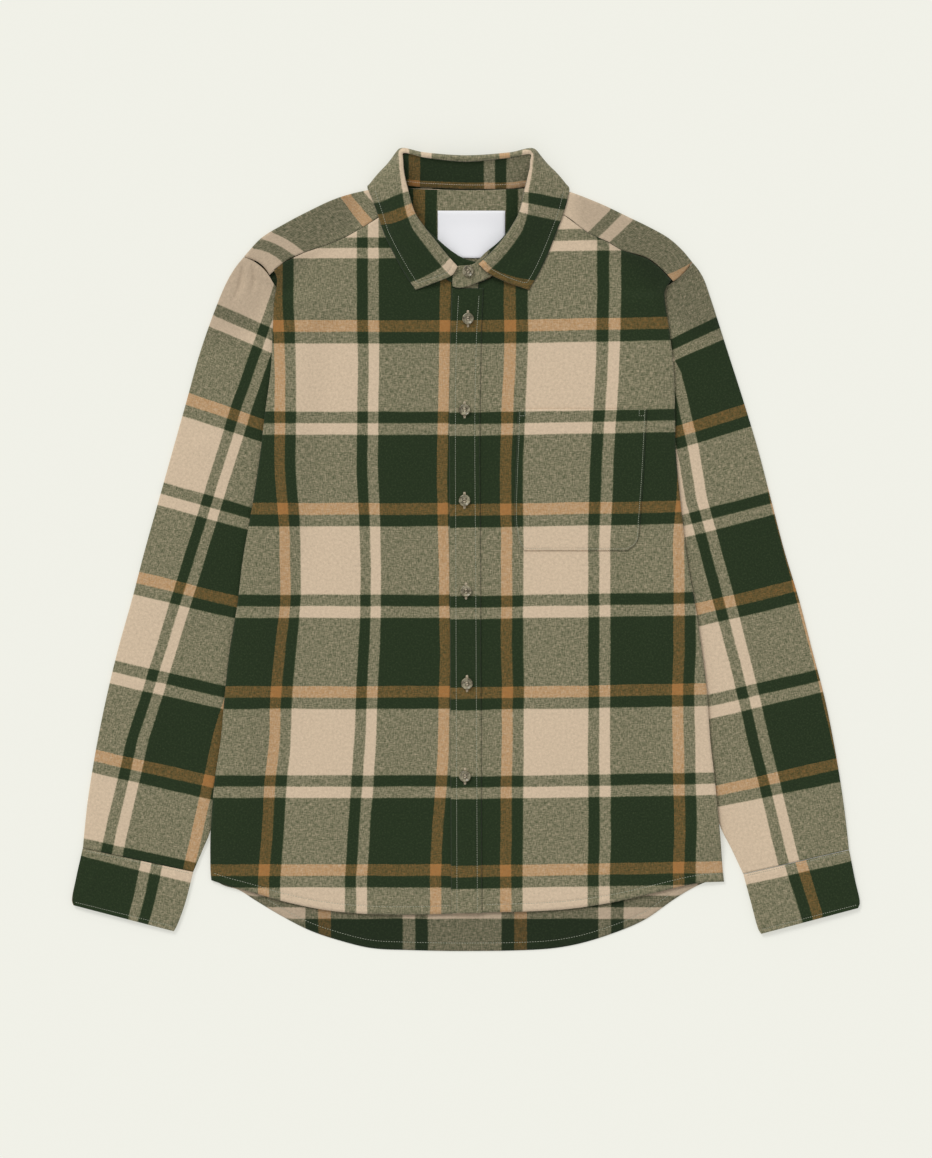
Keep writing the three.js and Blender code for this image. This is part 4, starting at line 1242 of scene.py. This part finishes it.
def sewCuffs():
    lines = []
    for sections in (rightCuff, leftCuff):
        first, last = sections[0][0][1], sections[-1][0][1]
        lines.append(cuffLine(sections, first + sewnIn["cuffSeam"]))
        lines.append(cuffLine(sections, last - sewnIn["cuffEdge"]))
    sewLines("cuff_sewing", lines, seamThread, pitch=2.2, length=1.5)


# The profile of a button's top: its height at a distance from the middle, before its four wells
buttonProfile = [
    (0, 1.7), (2.4, 1.72), (3.7, 1.85), (4.5, 2.35), (5.0, 2.6), (5.45, 2.35), (5.75, 1.8), (5.9, 1.1),
]
buttonSizes = {"radius": 5.9, "holeCircle": 1.75, "holeDepth": 1.3, "around": 72}
buttonPlaces = [(468, 319), (464.6, 410), (464.5, 500.5), (466, 591), (467, 683.5), (465, 776)]
collarButtonPlace = (468, 271.6)


# A round disc on rings about its middle: the top follows the profile less a smooth well at each hole,
# the side turns in to a flat base
def buttonPoints():
    around, radius = buttonSizes["around"], buttonSizes["radius"]
    radii = np.concatenate([np.linspace(0.12, radius, 40), [radius, 5.5, 4.6, 0.12]])
    angle = np.linspace(0, 2 * math.pi, around + 1)[:-1]
    x, y = radii[:, None] * np.cos(angle), radii[:, None] * np.sin(angle)
    z = np.concatenate([readTable(buttonProfile, radii[:40]), [0.7, 0.15, 0, 0]])[:, None] + 0 * x
    for k in range(4):
        turn = math.pi / 4 + k * math.pi / 2
        hx, hy = buttonSizes["holeCircle"] * math.cos(turn), buttonSizes["holeCircle"] * math.sin(turn)
        z[:40] -= buttonSizes["holeDepth"] * (1 - ease(0.62, 0.98, np.hypot(x[:40] - hx, y[:40] - hy)))
    points = np.concatenate([np.stack([x, y, z], axis=-1).reshape(-1, 3), [[0, 0, z[0, 0]], [0, 0, 0]]])
    index = np.arange(44 * around).reshape(44, around)
    nextOne = np.roll(index, -1, axis=1)
    a, b, c, d = index[:-1], index[1:], nextOne[1:], nextOne[:-1]
    corners = [np.stack(three, axis=-1).reshape(-1, 3) for three in ([a, b, c], [a, c, d])]
    quads = np.concatenate(corners)
    top = np.stack([np.full(around, 44 * around), index[0], nextOne[0]], axis=-1)
    base = np.stack([np.full(around, 44 * around + 1), nextOne[-1], index[-1]], axis=-1)
    return points, np.concatenate([quads, top, base])


def addButton(name, across, down, up, turn):
    points, faces = buttonPoints()
    cos, sin = math.cos(turn), math.sin(turn)
    x, y, z = points.T
    turned = np.stack([x * cos - y * sin, x * sin + y * cos, z], axis=-1)
    middle = toScene([across, down, up])
    piece = addMesh(name + "_horn", turned / 1000 + middle, faces, horn)
    finishPiece(piece, "button", name)
    # the thread runs from hole to hole in two bars
    bars = np.array([[-1.24 * sin * side, 1.24 * cos * side, 1.75] for side in (1, -1)])
    middles = bars / 1000 + middle
    directions = np.array([[cos, sin, 0], [cos, sin, 0]])
    threads, threadFaces = stitchVertices(middles, directions, 0.0031, 0.0009)
    finishPiece(addMesh(name + "_thread", threads, threadFaces, holeThread), "button")


# A buttonhole: short stitches side by side down each side of the slit, and a bar at each end
def buttonhole(across, down, level, long=15.8):
    run = np.arange(-long / 2, long / 2, 0.55)
    narrowed = 1 - 0.4 * (run / (long / 2)) ** 4
    places = np.concatenate([np.stack([side * narrowed, run], axis=-1) for side in (-0.75, 0.75)])
    bars = np.array([(k, end) for end in (-long / 2, long / 2) for k in (-0.45, 0.45)])
    sideways = np.tile([1.0, 0.0], (len(places), 1))
    lengthwise = np.tile([0.0, 1.0], (len(bars), 1))
    places, directions = np.concatenate([places, bars]), np.concatenate([sideways, lengthwise])
    x, y = across + places[:, 0], down + places[:, 1]
    middles = stack(x, y, level(x, y))
    return middles, np.concatenate([directions, np.zeros((len(directions), 1))], axis=-1)


# Just above the placket's cloth
def placketTop(across, down):
    return frontTop(across, down) + layerStep + clothThick / 2 + 0.08


def makeButtons():
    middles, directions = [], []
    for k, (across, down) in enumerate(buttonPlaces):
        up = float(placketTop(across, down)) + 0.22
        addButton(f"button_{k + 1}", across, down, up, 0.1 + 0.13 * math.sin(2.1 * k))
        places, ways = buttonhole(across, down, placketTop)
        middles.append(places)
        directions.append(ways)
    across, down = collarButtonPlace
    addButton("button_collar", across, down, 8.0, 0.35)
    middles, directions = toScene(np.concatenate(middles)), np.concatenate(directions)
    points, faces = stitchVertices(middles, directions, 0.0014, 0.0006)
    finishPiece(addMesh("buttonhole_sewing", points, faces, holeThread), "flannel")


sewBody()
sewCuffs()
makeButtons()
print("sewing made")

# Floor, light and camera

# Lengths in metres, the lens and its sensor in millimetres, angles in degrees
studio = {
    "floorTone": (0.44, 0.44, 0.404, 1),
    "floorReach": 3,
    "floorLevel": -0.0002,
    "air": 0.68,
    "sun": 1.55,
    "sunSpread": 22,
    "frameHeight": 1.158,
    "lens": 150,
    "sensor": 36,
}
paper, _, paperShader = newMaterial("pale paper", 1.0)
paperShader.inputs["Base Color"].default_value = studio["floorTone"]
paperShader.inputs["Emission Color"].default_value = studio["floorTone"]
paperShader.inputs["Emission Strength"].default_value = 1.0
paperShader.inputs["Specular IOR Level"].default_value = 0.0
sides = [(-1, -1), (1, -1), (1, 1), (-1, 1)]
floorCorners = [(x * studio["floorReach"], y * studio["floorReach"], studio["floorLevel"]) for x, y in sides]
floor = addMesh("floor", np.array(floorCorners), [(0, 1, 2, 3)], paper)

world = bpy.data.worlds.new("studio")
world.use_nodes = True
world.node_tree.nodes["Background"].inputs["Color"].default_value = (1, 1, 1, 1)
world.node_tree.nodes["Background"].inputs["Strength"].default_value = studio["air"]
scene.world = world


# A broad sun from the upper left, low enough to show the folds
sunData = bpy.data.lights.new("window", "SUN")
sunData.energy = studio["sun"]
sunData.angle = math.radians(studio["sunSpread"])
sun = bpy.data.objects.new("window", sunData)
sun.location = (-2, 2, 2)
sun.rotation_euler = (math.radians(-42), math.radians(-32), 0)
scene.collection.objects.link(sun)

cameraData = bpy.data.cameras.new("above")
cameraData.lens = studio["lens"]
cameraData.sensor_width = studio["sensor"]
cameraData.clip_end = 30
camera = bpy.data.objects.new("above", cameraData)
camera.location = (0.00015, -0.0287, studio["frameHeight"] * studio["lens"] / studio["sensor"])
scene.collection.objects.link(camera)
scene.camera = camera
scene.view_settings.view_transform = "Standard"
print("stage set")
